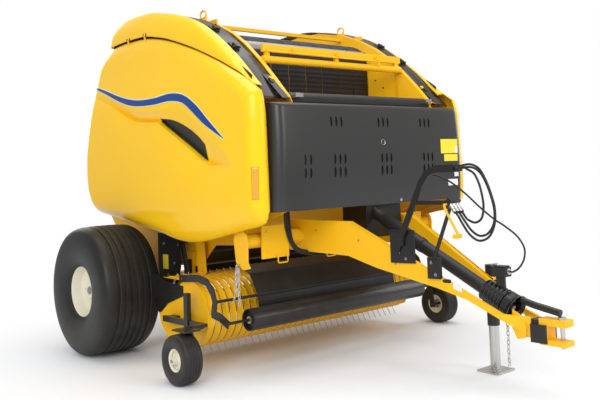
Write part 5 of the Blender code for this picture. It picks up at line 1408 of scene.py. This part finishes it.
@dataclass
class Pickup:
    """Stripper bands, tined reel, side plates and the wind guard with its roller."""

    reel: tuple[float, float] = (-1.14, 0.425)
    band_radius: float = 0.255
    count: int = 34
    slit: float = 0.019
    view_slit: float = 0.0085     # between two dressed bands
    band_thick: float = 0.0035
    bar_circle: float = 0.15
    tip_circle: float = 0.335
    first_bar: float = 250.0
    bars: int = 4

    def __post_init__(self) -> None:
        """Take the width over the bands from the CAD."""
        low, high = box_of("stripper_bands")
        self.half = (high[0] - low[0]) / 2
        self.pitch = (2 * self.half + self.slit) / self.count

    def build(self) -> None:
        """Make every piece of the pick-up."""
        self._bands()
        self._reel()
        self._plates()
        refined("wind_guard", BLACK_STEEL, 0.002)
        self._roller()

    def _plates(self) -> None:
        """The yellow frame with its side plates cut back at the rear, where black lift plates take over."""
        frame_piece = refined("pickup_frame", FRAME_PAINT, 0.0)
        corner = [(-0.2, 0.4), (-0.7, 0.43), (-1.17, 0.76), (-1.19, 1.2), (-0.2, 1.2)]
        plate = [(-0.56, 0.7), (-0.63, 0.712), (-0.76, 0.66), (-1.06, 0.64), (-1.06, 0.56),
                 (-0.82, 0.48), (-0.7, 0.395), (-0.64, 0.4), (-0.56, 0.56)]
        tool, lift = Shape(), Shape()
        for sign in (-1, 1):
            tool.side_plate(corner, sign * 1.12, sign * 1.18)
            lift.side_plate(plate, sign * 1.1503, sign * 1.1555)
            lift.rod((sign * 1.13, aft(-0.6), 0.64), (sign * 1.1575, aft(-0.6), 0.64), 0.024, 24)
        cut_away(frame_piece, tool, "plate_cutter")
        make(lift, "lift_plates", BLACK_STEEL, "pickup", bevel=0.002)

    def _bands(self) -> None:
        """Each band follows the path round the reel, and its face is crowned: a parabola across its width."""
        y0, z0 = self.reel
        top, low, r = z0 + self.band_radius, z0 - self.band_radius, self.band_radius
        turn = np.radians(np.linspace(90, 270, 33))
        front = np.stack([y0 + r * np.cos(turn), z0 + r * np.sin(turn)], -1)
        path = np.vstack([[(-0.74, top + 0.005), (-0.86, top + 0.003), (-1.0, top + 0.001)], front,
                          [(-1.0, low + 0.004), (-0.86, low + 0.01), (-0.76, low + 0.04)]])
        normals = normals_along(path)
        across = np.linspace(-1, 1, 7)
        face = 0.0028 * (1 - across ** 2) + np.where(np.abs(across) == 1, -0.004, 0.0)
        x = across * (self.pitch - self.view_slit) / 2
        x, off = np.concatenate([x, x[::-1]]), np.concatenate([face, face[::-1] - self.band_thick])
        shape = Shape()
        for i in range(self.count):
            middle = -self.half + (self.pitch - self.slit) / 2 + i * self.pitch
            shape.grid(carry(path, normals, middle + x, off), close_v=True, cap_u=True)
        make(shape, "stripper_bands_crowned", FRAME_PAINT, "pickup", ["stripper_bands"])

    def _reel(self) -> None:
        """Shaft, discs and bars, and on each bar spring tines: a coil, then a leg that bends a little."""
        y0, z0 = self.reel
        low, high = box_of("tine_reel")
        shape = Shape().rod((low[0], aft(y0), z0), (high[0], aft(y0), z0), 0.02, 24)
        for x in (-1.1, 0.0, 1.1):
            shape.rod((x - 0.004, aft(y0), z0), (x + 0.004, aft(y0), z0), 0.17, 48)
        tines = Shape()
        t = np.linspace(0, 1, 9)[:, None]
        spin = np.linspace(0, 4 * np.pi, 22)[:, None]
        for k in range(self.bars):
            turn = math.radians(self.first_bar + 360 * k / self.bars)
            radial, tangent = vec(0, math.cos(turn), math.sin(turn)), vec(0, -math.sin(turn), math.cos(turn))
            bar = vec(0, aft(y0), z0) + radial * self.bar_circle
            shape.rod(bar - vec(1.1, 0, 0), bar + vec(1.1, 0, 0), 0.016, 16)
            leg = radial * (self.tip_circle - self.bar_circle) * t + tangent * (0.018 * np.sin(np.pi * t))
            coil = (0.021 * (np.cos(spin) * radial + np.sin(spin) * tangent)
                    + vec(0.016, 0, 0) * (spin / (4 * np.pi) - 1))
            tine = bar + np.vstack([coil, leg[1:]])
            for i in range(self.count - 1):
                x = -self.half + (i + 1) * self.pitch - self.slit / 2
                tines.tube(tine + vec(x, 0, 0), 0.0032, 5)
        make(shape, "reel_bars", BLACK_STEEL, "reel", ["tine_reel"], bevel=0.001)
        make(tines, "spring_tines", BRIGHT_STEEL, "reel", merge=0.000001)

    def _roller(self) -> None:
        """The wind guard's roller: a long drum with a rolled rim and a recessed end, and its bearings."""
        low, high = box_of("guard_roller")
        middle = (low + high) / 2
        r, half = (high[2] - low[2]) / 2, (high[0] - low[0]) / 2
        end = [(half - 0.003, r), (half, r - 0.002), (half, r - 0.006), (half - 0.004, r - 0.01),
               (half - 0.03, r - 0.012), (half - 0.03, 0.013)]
        profile = [(-x, q) for x, q in reversed(end)] + end
        drum = Shape().lathe(np.array(profile), middle, steps=72)
        make(drum, "guard_roller_drum", BLACK_STEEL, "guard_roller", ["guard_roller"])
        hubs = Shape()
        for sign in (-1, 1):
            hub = np.array([(0.0, 0.0132), (0.0, 0.03), (0.022, 0.028), (0.022, 0.0132)]) * vec(sign, 1)
            hubs.lathe(hub, middle + vec(sign * (half - 0.028), 0, 0), steps=32)
        make(hubs, "guard_roller_hubs", BRIGHT_STEEL, "guard_roller", bevel=0.001)


# Cords.

@dataclass(frozen=True)
class ParkedCord:
    """A free hose or cable of the hose bracket, a plain tube on a smooth curve."""

    node: str
    radius: float
    knots: Triples     # x, aft, z

    def path(self, per_span: int = 6) -> Array:
        """Catmull-Rom points through the knots: the cubic whose slope at a knot is half the step between
        its neighbours."""
        p = np.array([self.knots[0], *self.knots, self.knots[-1]], float)
        p[:, 1] += AXLE_Y
        p0, p1, p2, p3 = (p[k:len(p) - 3 + k, None] for k in range(4))
        t = (np.arange(per_span) / per_span)[None, :, None]
        spans = 0.5 * (2 * p1 + (p2 - p0) * t + (2 * p0 - 5 * p1 + 4 * p2 - p3) * t ** 2
                       + (3 * p1 - p0 - 3 * p2 + p3) * t ** 3)
        return np.vstack([spans.reshape(-1, 3), p[-1:]])

    def build(self) -> None:
        path = self.path()
        piece = Shape().tube(path, self.radius, 14).build(self.node + "_tube")
        wear(piece, BLACK_RUBBER, "chassis", self.node)


HOSE_X, HOSE_PITCH, HOSE_R, CABLE_R = -0.295, 0.034, 0.008, 0.0065
CLAMP_FACE = (-3.2353, 1.508)          # front face of the clamp, aft and z
COUPLER_END = vec(-3.23218, 1.20476)   # tip of a coupler, aft and z
COUPLER_DOWN = vec(-0.61003, -0.79238)  # its direction
HOSE_ROUTES: dict[str, tuple[int, float, Pairs]] = {
    # place in the clamp, bulge sideways, (aft, z) between clamp and coupler
    "hose_right": (-1, -0.02, (
        (-3.3, 1.524), (-3.385, 1.53), (-3.455, 1.5), (-3.505, 1.43), (-3.545, 1.34), (-3.572, 1.24),
        (-3.565, 1.14), (-3.515, 1.055), (-3.43, 1.025), (-3.35, 1.062), (-3.29, 1.13))),
    "hose_middle": (0, 0.004, (
        (-3.295, 1.512), (-3.365, 1.508), (-3.425, 1.472), (-3.47, 1.4), (-3.505, 1.31), (-3.525, 1.22),
        (-3.515, 1.135), (-3.465, 1.07), (-3.395, 1.052), (-3.33, 1.085), (-3.28, 1.142))),
    "hose_left": (1, 0.022, (
        (-3.28, 1.5), (-3.335, 1.468), (-3.37, 1.4), (-3.39, 1.32), (-3.398, 1.24), (-3.38, 1.165),
        (-3.33, 1.135), (-3.275, 1.152))),
}
CABLE_ROUTE: Triples = (
    (-0.3122, -2.985, 1.47), (-0.3002, -2.985, 1.47), (-0.2882, -2.985, 1.47), (-0.27, -3.04, 1.455),
    (-0.268, -3.12, 1.425), (-0.268, -3.2, 1.38), (-0.233, -3.265, 1.314), (-0.2, -3.335, 1.237),
    (-0.167, -3.426, 1.155), (-0.133, -3.485, 1.107), (-0.1, -3.557, 1.04), (-0.067, -3.588, 0.96),
    (-0.036, -3.56, 0.88), (-0.012, -3.5, 0.815), (0.0, -3.4403, 0.7825), (0.0, -3.4203, 0.7825),
    (0.0, -3.4003, 0.7825))


def hose_places() -> list[float]:
    """The x of each hose in the clamp and the rack."""
    return [HOSE_X + k * HOSE_PITCH for k in (-1, 0, 1)]


def build_cords() -> None:
    """The three parked hoses and the cable to the connector box."""
    for node, (place, bulge, route) in HOSE_ROUTES.items():
        x = HOSE_X + place * HOSE_PITCH
        knots = [(x, CLAMP_FACE[0] - d, CLAMP_FACE[1]) for d in (0.0, 0.02, 0.04)]
        knots += [(x + bulge * math.sin(math.pi * k / (len(route) + 1)), y, z)
                  for k, (y, z) in enumerate(route, start=1)]
        knots += [(x, *(COUPLER_END + COUPLER_DOWN * d)) for d in (0.04, 0.02, 0.0)]
        ParkedCord(node, HOSE_R, tuple(knots)).build()
    ParkedCord("cable", CABLE_R, CABLE_ROUTE).build()


# Drive line.

@dataclass
class DriveLine:
    """The shaft guard tube and the ribbed bell in front of it."""

    rear: tuple[float, float, float] = (0.0, -2.22, 1.12)
    front: tuple[float, float, float] = (0.0, -3.45, 0.525)
    bell_start: float = 0.8
    rings: int = 6
    radii: tuple[float, float] = (0.072, 0.098)
    rib_end: float = 0.7          # share of the bell's length that is ribbed
    rib_height: float = 0.0065
    band: tuple[float, float] = (0.71, 0.89)     # start and end of the smooth band
    bell_wall: float = 0.007

    def build(self) -> None:
        """The bell's radius grows evenly, with a cosine for its ribs; then come a smooth band and the flared
        mouth. Behind it lie the guard tube and, inside both, the yoke."""
        start, end = (vec(p[0], aft(p[1]), p[2]) for p in (self.rear, self.front))
        along = (end - start) / np.linalg.norm(end - start)
        length = np.linalg.norm(end - start)
        t = np.linspace(0, 1, 181)
        grow = self.radii[0] + (self.radii[1] - self.radii[0]) * t
        wave = self.rib_height * np.cos(2 * np.pi * self.rings * t / self.rib_end)
        ribs = np.where(t < self.rib_end, wave, 0.0)
        band = 0.004 * ease(self.band[0], self.band[0] + 0.01, t) * ease(self.band[1], self.band[1] - 0.01, t)
        flare = 0.01 * ease(0.9, 1.0, t)
        radius = grow + ribs + band + flare
        bell = np.vstack([np.stack([t, radius], -1), np.stack([t, radius - self.bell_wall], -1)[::-1]])
        bell[:, 0] = bell[:, 0] * length * (1 - self.bell_start)
        place = start + along * length * self.bell_start
        make(Shape().lathe(bell, place, along, steps=72), "bell_ribbed", GLOSS_BLACK, nodes=["pto_bell"])
        guard_end = (self.bell_start + 0.02) * length
        guard = [(0.0, 0.03), (0.0, 0.05), (0.004, 0.052), (0.3 * length, 0.052), (0.302 * length, 0.056),
                 (0.33 * length, 0.056), (0.332 * length, 0.049), (guard_end, 0.049), (guard_end, 0.03)]
        tube = Shape().lathe(np.array(guard), start, along, steps=48)
        make(tube, "shaft_guard", BLACK_RUBBER, nodes=["pto_tube"])
        yoke = [(0.84, 0.0), (0.84, 0.026), (0.96, 0.026), (0.96, 0.02), (0.985, 0.02), (0.985, 0.0)]
        make(Shape().lathe(np.array(yoke) * vec(length, 1), start, along, steps=24), "shaft_yoke", BARE_STEEL,
             bevel=0.001)
        self._connector()

    @staticmethod
    def _connector() -> None:
        """The box on the bell's stub, its lid, the socket that the cable goes into and the lid's hinge."""
        block = Shape().box((-0.012, aft(-3.37), 0.64), (0.012, aft(-3.3), 0.7445))
        block.box((-0.038, aft(-3.4), 0.745), (0.038, aft(-3.28), 0.812))
        block.box((-0.034, aft(-3.392), 0.8124), (0.034, aft(-3.3), 0.82))
        make(block, "connector_box", BLACK_STEEL, bevel=0.004)
        ring = np.array([(0.0, 0.0075), (0.0, 0.022), (-0.009, 0.022), (-0.009, 0.0075)])
        socket = Shape().lathe(ring, (0.0, aft(-3.4002), 0.7825), (0, 1, 0), 32)
        socket.box((-0.036, aft(-3.288), 0.82), (0.036, aft(-3.281), 0.832))
        make(socket, "connector_socket", BRIGHT_STEEL, bevel=0.001)


# Small hardware.

RAIL_START, RAIL_END = -1.6, -3.437     # the tongue's rails, aft of the axle
PLATE_THICK = 0.0004


def chain(shape: Shape, path: Sequence[Sequence[float]], pitch: float = 0.028, wire: float = 0.0034) -> Shape:
    """Add oval links along a path, each turned a quarter from the last.

    Args:
        shape: what they are added to.
        path: (x, aft, z) points that the chain follows.
        pitch: distance from link to link.
        wire: radius of a link's wire.
    """
    points = smooth_curve(path, 80) + vec(0, AXLE_Y, 0)
    run = np.concatenate([[0.0], np.cumsum(np.linalg.norm(np.diff(points, axis=0), axis=1))])
    turn = np.linspace(0, 2 * np.pi, 12, endpoint=False)
    long_half, wide_half = pitch / 2 + wire, 2.6 * wire
    for k, s in enumerate(np.arange(pitch / 2, run[-1], pitch)):
        at, after, before = (vec(*(np.interp(s + d, run, points[:, c]) for c in range(3)))
                             for d in (0.0, 0.004, -0.004))
        ahead = (after - before) / np.linalg.norm(after - before)
        seed = vec(1, 0, 0) if abs(ahead[0]) < 0.8 else vec(0, 1, 0)
        side = np.cross(ahead, seed)
        side = side / np.linalg.norm(side)
        across = side if k % 2 else np.cross(ahead, side)
        link = long_half * np.cos(turn)[:, None] * ahead + wide_half * np.sin(turn)[:, None] * across
        shape.tube(at + link, wire, 6, closed=True)
    return shape


def rail_section(y: float) -> tuple[float, float]:
    """Distance of the tongue rail's middle from the machine's middle at a place along it, and its width."""
    share = (y - RAIL_START) / (RAIL_END - RAIL_START)
    return 0.47 - 0.34 * share, 0.075 - 0.051 * share


def on_rail(y: float, z: float, out: float) -> Array:
    """A point on the outer face of the tongue's right rail at (aft, z), moved out by a little."""
    middle, width = rail_section(y)
    return vec(-middle - width / 2 - out, aft(y), z)


def rail_plate(corners: Sequence[tuple[float, float]]) -> Shape:
    """A thin flat plate on that rail's outer face, from its (aft, z) corners."""
    return Shape().slab(np.array([on_rail(y, z, PLATE_THICK) for y, z in corners]), vec(-PLATE_THICK, 0, 0))


def squared_oval(y: float, z: float, across: float, tall: float, power: float) -> list[tuple[float, float]]:
    """An oval of 20 (aft, z) points; a power under 1 squares it."""
    turn = np.linspace(0, 2 * np.pi, 20, endpoint=False)
    return [(y + across * math.copysign(abs(math.cos(a)) ** power, math.cos(a)),
             z + tall * math.copysign(abs(math.sin(a)) ** power, math.sin(a))) for a in turn]


@dataclass
class TongueHardware:
    """What sits on the tongue and the hitch: labels, slot, bolts, couplers, chains and the hitch tube."""

    bolts: tuple[tuple[float, float, float, float], ...] = (
        # aft, height, distance of the seat from the rail, radius of the head
        (-2.663, 0.905, 0.015, 0.01), (-2.72, 0.862, 0.015, 0.01), (-2.935, 0.845, 0.025, 0.01),
        (-2.965, 0.76, 0.025, 0.01), (-1.9, 1.055, 0.0005, 0.006), (-2.3, 0.985, 0.0005, 0.006),
        (-2.62, 0.82, 0.0005, 0.006), (-2.62, 0.905, 0.0005, 0.006))
    label_middle: float = -2.55      # where the labels on the left rail's inner face touch it

    def build(self) -> None:
        """Make each small piece."""
        # Painted shade: the slot is a thin dark plate on the rail whose colour stands for the shade inside
        # it.
        make(rail_plate(squared_oval(-3.034, 0.716, 0.034, 0.014, 0.6)), "tongue_slot", PAINTED_OPENING_SHADE)
        bolts = Shape()
        for y, z, out, radius in self.bolts:
            bolts.bolt(on_rail(y, z, out), (-1, 0, 0), radius)
        make(bolts, "tongue_bolts", BARE_STEEL, bevel=0.0008)
        white = rail_plate([(-3.08, 0.722), (-3.146, 0.694), (-3.146, 0.64), (-3.08, 0.668)])
        self._inner_label(white, -2.65, -2.548, 0.775, 0.83)
        make(white, "tongue_labels_white", WHITE_LABEL)
        yellow = Shape()
        self._inner_label(yellow, -2.545, -2.455, 0.8, 0.845)
        make(yellow, "tongue_label_yellow", YELLOW_LABEL)
        self._couplers()
        self._chains()
        self._hitch()

    def _inner_label(self, shape: Shape, y0: float, y1: float, z0: float, z1: float) -> None:
        """Add a blank label on the left rail's inner face, running down to the front as the rail does."""
        middle, width = rail_section(self.label_middle)
        lean = -0.34 / (RAIL_END - RAIL_START)
        ring = [(middle - width / 2 + lean * (y - self.label_middle) - 0.003, aft(y), z - 0.45 * (y1 - y))
                for y, z in ((y0, z0), (y1, z0), (y1, z1), (y0, z1))]
        shape.slab(np.array(ring), vec(-0.0006, 0, 0))

    def _couplers(self) -> None:
        """A sleeve and two collars on each hose coupler."""
        profile = [(-0.085, 0.0142), (-0.085, 0.0165), (-0.055, 0.0165), (-0.052, 0.015), (-0.03, 0.015),
                   (-0.027, 0.0175), (-0.006, 0.0175), (-0.006, 0.0142)]
        steel = Shape()
        for x in hose_places():
            tip = vec(x, aft(COUPLER_END[0]), COUPLER_END[1])
            steel.lathe(np.array(profile), tip, vec(0, *COUPLER_DOWN), 20)
        make(steel, "hose_couplers", BRIGHT_STEEL, bevel=0.0008)

    def _chains(self) -> None:
        """The safety chain from the tongue, and its end heaped on the jack's foot."""
        drop = [(0.15, -3.262, 0.56), (0.151, -3.263, 0.4), (0.15, -3.262, 0.25), (0.152, -3.26, 0.09)]
        make(chain(Shape(), drop, 0.032, 0.004), "safety_chain", BRIGHT_STEEL)
        a = np.linspace(0, 6 * np.pi, 40)
        heap_x, heap_z = 0.188 + 0.016 * np.cos(a), 0.023 + 0.009 * a / (2 * np.pi)
        heap_y = -3.108 + 0.03 * np.sin(1.1 * a) - 0.008 * np.cos(0.7 * a)
        heap = np.stack([heap_x, heap_y, heap_z], -1)
        make(chain(Shape(), heap, 0.028, 0.004), "chain_heap", BRIGHT_STEEL, "jack_leg")

    def _hitch(self) -> None:
        """The tube from the shaft's guard to the clevis, and the bent plate at the tongue's nose."""
        line = np.array([(0.0, aft(-3.5), 0.596), (0.0, aft(-3.6), 0.572), (0.0, aft(-3.8), 0.538)])
        make(Shape().tube(line, 0.024, 20), "hitch_tube", BLACK_STEEL, bevel=0.002)
        nose = [(-3.475, 0.545), (-3.53, 0.52), (-3.585, 0.44), (-3.575, 0.365), (-3.505, 0.35),
                (-3.47, 0.42)]
        make(Shape().side_plate(nose, -0.075, -0.083), "nose_plate", FRAME_PAINT, bevel=0.002)


@dataclass
class FlankHardware:
    """What shows under the side shields: drive hubs, lift posts, hook chains, hoses by the cross tube."""

    hub: tuple[float, float] = (-0.32, 0.52)

    def build(self) -> None:
        """Make each small piece."""
        for side in Side:
            self._drive(side)
        throat = Shape().box((-0.893, aft(-0.655), 0.672), (0.893, aft(-0.655) + 0.004, 0.8))
        make(throat, "throat_sheet", BLACK_STEEL, bevel=0.001)
        self._chains()
        self._hoses()

    def _drive(self, side: Side) -> None:
        """Hub ring, bolts and blank label of a drive plate, the black bar beside it and the yellow post."""
        y, z = aft(self.hub[0]), self.hub[1]
        ring, bolts, bar = Shape(), Shape(), Shape()
        ring.lathe(np.array([(0.0, 0.03), (0.0, 0.052), (0.007, 0.05), (0.007, 0.034), (0.003, 0.03)]),
                   (0.9342, y, z), (1, 0, 0), 40)
        ring.rod((0.93, y, z), (0.95, y, z), 0.018, 20)
        for y, z in ((-0.527, 0.765), (-0.6, 0.93), (-0.36, 0.93), (-0.62, 0.58), (-0.42, 0.66)):
            bolts.bolt((0.9125, aft(y), z), (1, 0, 0), 0.011)
        label = Shape().box((0.9123, aft(-0.425), 0.708), (0.9133, aft(-0.335), 0.834))
        bar.side_plate([(-0.645, 0.965), (-0.7, 0.975), (-0.8, 0.655), (-0.748, 0.64)], 0.914, 0.93)
        bar.rod((0.912, aft(-0.672), 0.945), (0.955, aft(-0.672), 0.945), 0.014, 16)
        post = Shape().side_plate([(-0.77, 0.965), (-0.9, 0.955), (-0.925, 0.7), (-0.88, 0.672),
                                   (-0.8, 0.69)], 0.836, 0.848)
        for shape, name, finish, bevel in (
                (ring, "drive_hub", BRIGHT_STEEL, 0.001), (bolts, "drive_bolts", BARE_STEEL, 0.0008),
                (label, "drive_label", YELLOW_LABEL, 0.0), (bar, "drive_bar", BLACK_STEEL, 0.002),
                (post, "lift_post", FRAME_PAINT, 0.003)):
            make(shape, name, finish, side=side, bevel=bevel)

    def _chains(self) -> None:
        """Two hanging ends of chain on the right hook plate, and a loop of it on the drive plate's bar."""
        hung = chain(Shape(), [(-1.062, -1.712, 0.838), (-1.064, -1.708, 0.68), (-1.062, -1.704, 0.532)])
        chain(hung, [(-1.074, -1.704, 0.838), (-1.076, -1.69, 0.72), (-1.072, -1.665, 0.61),
                     (-1.07, -1.645, 0.572)])
        hanging = make(hung, "hook_chains", BRIGHT_STEEL)
        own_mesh(hanging)
        loop = [(-0.948, -0.7, 0.7), (-0.95, -0.725, 0.56), (-0.952, -0.7, 0.445),
                (-0.952, -0.625, 0.405), (-0.95, -0.565, 0.47), (-0.948, -0.57, 0.6),
                (-0.946, -0.64, 0.69)]
        make(chain(Shape(), loop, 0.026, 0.0036), "bar_chain", BRIGHT_STEEL)

    def _hoses(self) -> None:
        """Fixed hoses that come down behind the cross tube's plate and run to the middle, in yellow loops."""
        shape = Shape()
        for gap, radius in ((0.0, 0.009), (0.022, 0.008), (0.042, 0.007)):
            knots = [(-0.64 - gap, -1.8, 1.215), (-0.638 - gap, -1.808, 1.1),
                     (-0.618 - gap * 0.7, -1.812, 0.985), (-0.57 - gap * 0.4, -1.812, 0.925 - gap * 0.5),
                     (-0.48, -1.81, 0.895 - gap * 0.6), (-0.38, -1.806, 0.89 - gap),
                     (-0.29, -1.812, 0.882 - gap), (-0.215, -1.815, 0.868 - gap)]
            shape.tube(smooth_curve(knots, 60) + vec(0, AXLE_Y, 0), radius, 12)
        make(shape, "fixed_hoses", BLACK_RUBBER)
        loops = Shape()
        half = [(0.045, 0.0), (0.048, -0.06), (0.04, -0.07)]
        for x in (-0.725, -0.225):
            knots = [(-a, b) for a, b in half] + half[::-1]
            loops.tube(np.array([(x + a, aft(-1.822), 0.9 + b) for a, b in knots]), 0.0055, 10)
        make(loops, "hose_loops", FRAME_PAINT)


# Stage.

def placed(right: Array, up: Array, back: Array, place: Sequence[float]) -> Matrix:
    """The matrix of a camera or a lamp from its own axes and its place."""
    matrix = np.eye(4)
    matrix[:3] = np.stack([right, up, back, vec(*place)], -1)
    return Matrix(matrix.tolist())


@dataclass
class Studio:
    """Camera at the photo's angle, soft lamps and a pale floor. The image is taken to be 600 by 400."""

    eye: tuple[float, float, float] = (-4.57, -6.725, 1.533)     # X, aft of the axle, Z
    yaw: float = 43.335
    pitch: float = -3.598
    roll: float = -2.166
    focal_px: float = 796.17
    centre_px: tuple[float, float] = (351.41, 118.29)
    image: tuple[float, float] = (600.0, 400.0)
    lamps: tuple[tuple[str, tuple[float, ...], tuple[float, ...], float, float], ...] = (
        # name, place, what it looks at, size, power
        ("key", (-7.5, -5.5, 5.5), (0.0, -0.5, 1.4), 5.0, 410.0),
        ("front", (1.5, -9.0, 4.5), (0.0, -1.0, 1.3), 4.0, 190.0),
        ("top", (0.5, 0.0, 8.0), (0.0, 0.0, 1.0), 7.0, 330.0),
        ("left", (8.0, -1.5, 3.5), (0.0, 0.0, 1.3), 4.0, 110.0),
        ("rear", (0.0, 8.0, 4.0), (0.0, 1.0, 1.3), 4.0, 110.0))
    sky_light: float = 0.55      # strength of the white surroundings as a light
    sky_seen: float = 1.0        # and as what the camera sees
    floor_half: float = 40.0
    floor_colour: Colour = (0.885, 0.905, 0.935)
    floor_fade: tuple[float, float] = (1.6, 4.2)     # from here to there the floor turns plain white

    def build(self) -> None:
        """Make all of it."""
        self._camera()
        self._lamps()
        self._sky()
        self._floor()
        bpy.context.scene.view_settings.view_transform = "Standard"

    def _camera(self) -> None:
        """The view direction from yaw and pitch, turned by the roll, as the camera's axes."""
        yaw, pitch, roll = (math.radians(a) for a in (self.yaw, self.pitch, self.roll))
        ahead = vec(math.sin(yaw) * math.cos(pitch), math.cos(yaw) * math.cos(pitch), -math.sin(pitch))
        level = vec(math.cos(yaw), -math.sin(yaw), 0)
        up0 = np.cross(level, ahead)
        right = level * math.cos(roll) + up0 * math.sin(roll)
        up = -level * math.sin(roll) + up0 * math.cos(roll)
        data = bpy.data.cameras.new("view")
        data.sensor_width = 36.0
        data.lens = data.sensor_width * self.focal_px / self.image[0]
        data.shift_x = (self.image[0] / 2 - self.centre_px[0]) / self.image[0]
        data.shift_y = (self.centre_px[1] - self.image[1] / 2) / self.image[0]
        data.clip_end = 200.0
        camera = bpy.data.objects.new("view", data)
        camera.matrix_world = placed(right, up, -ahead, (self.eye[0], aft(self.eye[1]), self.eye[2]))
        bpy.context.scene.collection.objects.link(camera)
        bpy.context.scene.camera = camera

    def _lamps(self) -> None:
        """Softboxes: a key from the front right, one overhead, and fills from the front, left and rear."""
        for name, place, target, size, power in self.lamps:
            data = bpy.data.lights.new(name, "AREA")
            data.size = size
            data.energy = power
            lamp = bpy.data.objects.new(name, data)
            back = vec(*place) - vec(*target)
            back = back / np.linalg.norm(back)
            side = np.cross(vec(0, 0, 1), back)
            side = side / np.linalg.norm(side)
            lamp.matrix_world = placed(side, np.cross(back, side), back, place)
            bpy.context.scene.collection.objects.link(lamp)

    def _sky(self) -> None:
        """White all round: softer as a light than as what the camera sees."""
        world = bpy.data.worlds.new("studio")
        world.use_nodes = True
        bpy.context.scene.world = world
        nodes = Nodes(world.node_tree)
        level = nodes.node("MapRange", {"Value": nodes.node("LightPath").outputs["Is Camera Ray"],
                                        "To Min": self.sky_light, "To Max": self.sky_seen})
        back = world.node_tree.nodes["Background"].inputs
        nodes.put((1.0, 1.0, 1.0, 1.0), back["Color"])
        nodes.put(level.outputs["Result"], back["Strength"])

    def _floor(self) -> None:
        """A pale floor that is plain white far from the machine and keeps its shadow near it."""
        half = self.floor_half
        mesh = bpy.data.meshes.new("floor")
        mesh.from_pydata([(-half, -half, 0), (half, -half, 0), (half, half, 0), (-half, half, 0)], [],
                         [(0, 1, 2, 3)])
        floor = bpy.data.objects.new("floor", mesh)
        bpy.context.scene.collection.objects.link(floor)
        material = bpy.data.materials.new("studio floor")
        material.use_nodes = True
        nodes = Nodes(material.node_tree)
        shader = material.node_tree.nodes["Principled BSDF"]
        for word, value in (("Base Color", (*self.floor_colour, 1.0)), ("Roughness", 0.9),
                            ("Specular IOR Level", 0.1)):
            nodes.put(value, shader.inputs[word])
        far = nodes.node("VectorMath", {0: nodes.node("TexCoord").outputs["Object"]}, operation="LENGTH")
        fade = nodes.node("MapRange", {"Value": far.outputs["Value"], "From Min": self.floor_fade[0],
                                       "From Max": self.floor_fade[1]}, interpolation_type="SMOOTHSTEP")
        by_camera = nodes.node("LightPath").outputs["Is Camera Ray"]
        seen = nodes.math("MULTIPLY", fade.outputs["Result"], by_camera)
        white = nodes.node("Emission", {"Strength": 1.0})
        mix = nodes.node("MixShader", {0: seen, 1: shader.outputs[0], 2: white.outputs[0]})
        nodes.put(mix.outputs[0], material.node_tree.nodes["Material Output"].inputs["Surface"])
        mesh.materials.append(material)


def main() -> None:
    """Build every sub-assembly in turn."""
    logging.basicConfig(level=logging.INFO, format="%(message)s")
    Studio().build()
    build_cords()
    for side in Side:
        Wheel("main", side, grooves=(-0.52, -0.31, -0.1, 0.1, 0.31, 0.52), groove_width=0.014,
              groove_depth=0.014, zigzag=0.0015, zigzag_count=72, steps=216, dish=0.55).build()
        Wheel("gauge", side, grooves=(-0.45, -0.15, 0.15, 0.45), groove_width=0.008,
              groove_depth=0.005, zigzag=0.0, zigzag_count=1, steps=120, dish=0.4).build()
        SideShield(side).build()
        Covers(side).build()
    FrontHood().build()
    Belts("chamber_belts", "chassis",
          ((-0.75, 2.726), (-1.0, 2.732), (-1.19, 2.685), (-1.285, 2.61), (-1.306, 2.45), (-1.3, 1.9),
           (-1.28, 1.3)), ((-0.8, 2.665), (-1.245, 2.59), (-1.225, 1.36))).build()
    Belts("tailgate_belts", "tailgate",
          ((0.44, 2.612), (0.6, 2.56), (0.78, 2.42), (0.95, 2.16), (1.03, 1.85), (1.01, 1.55), (0.88, 1.26),
           (0.64, 1.045)), ((0.45, 2.555), (0.62, 1.1))).build()
    for part in (ChamberFrame(), Pickup(), DriveLine(), TongueHardware(), FlankHardware()):
        part.build()


if __name__ == "__main__":
    main()
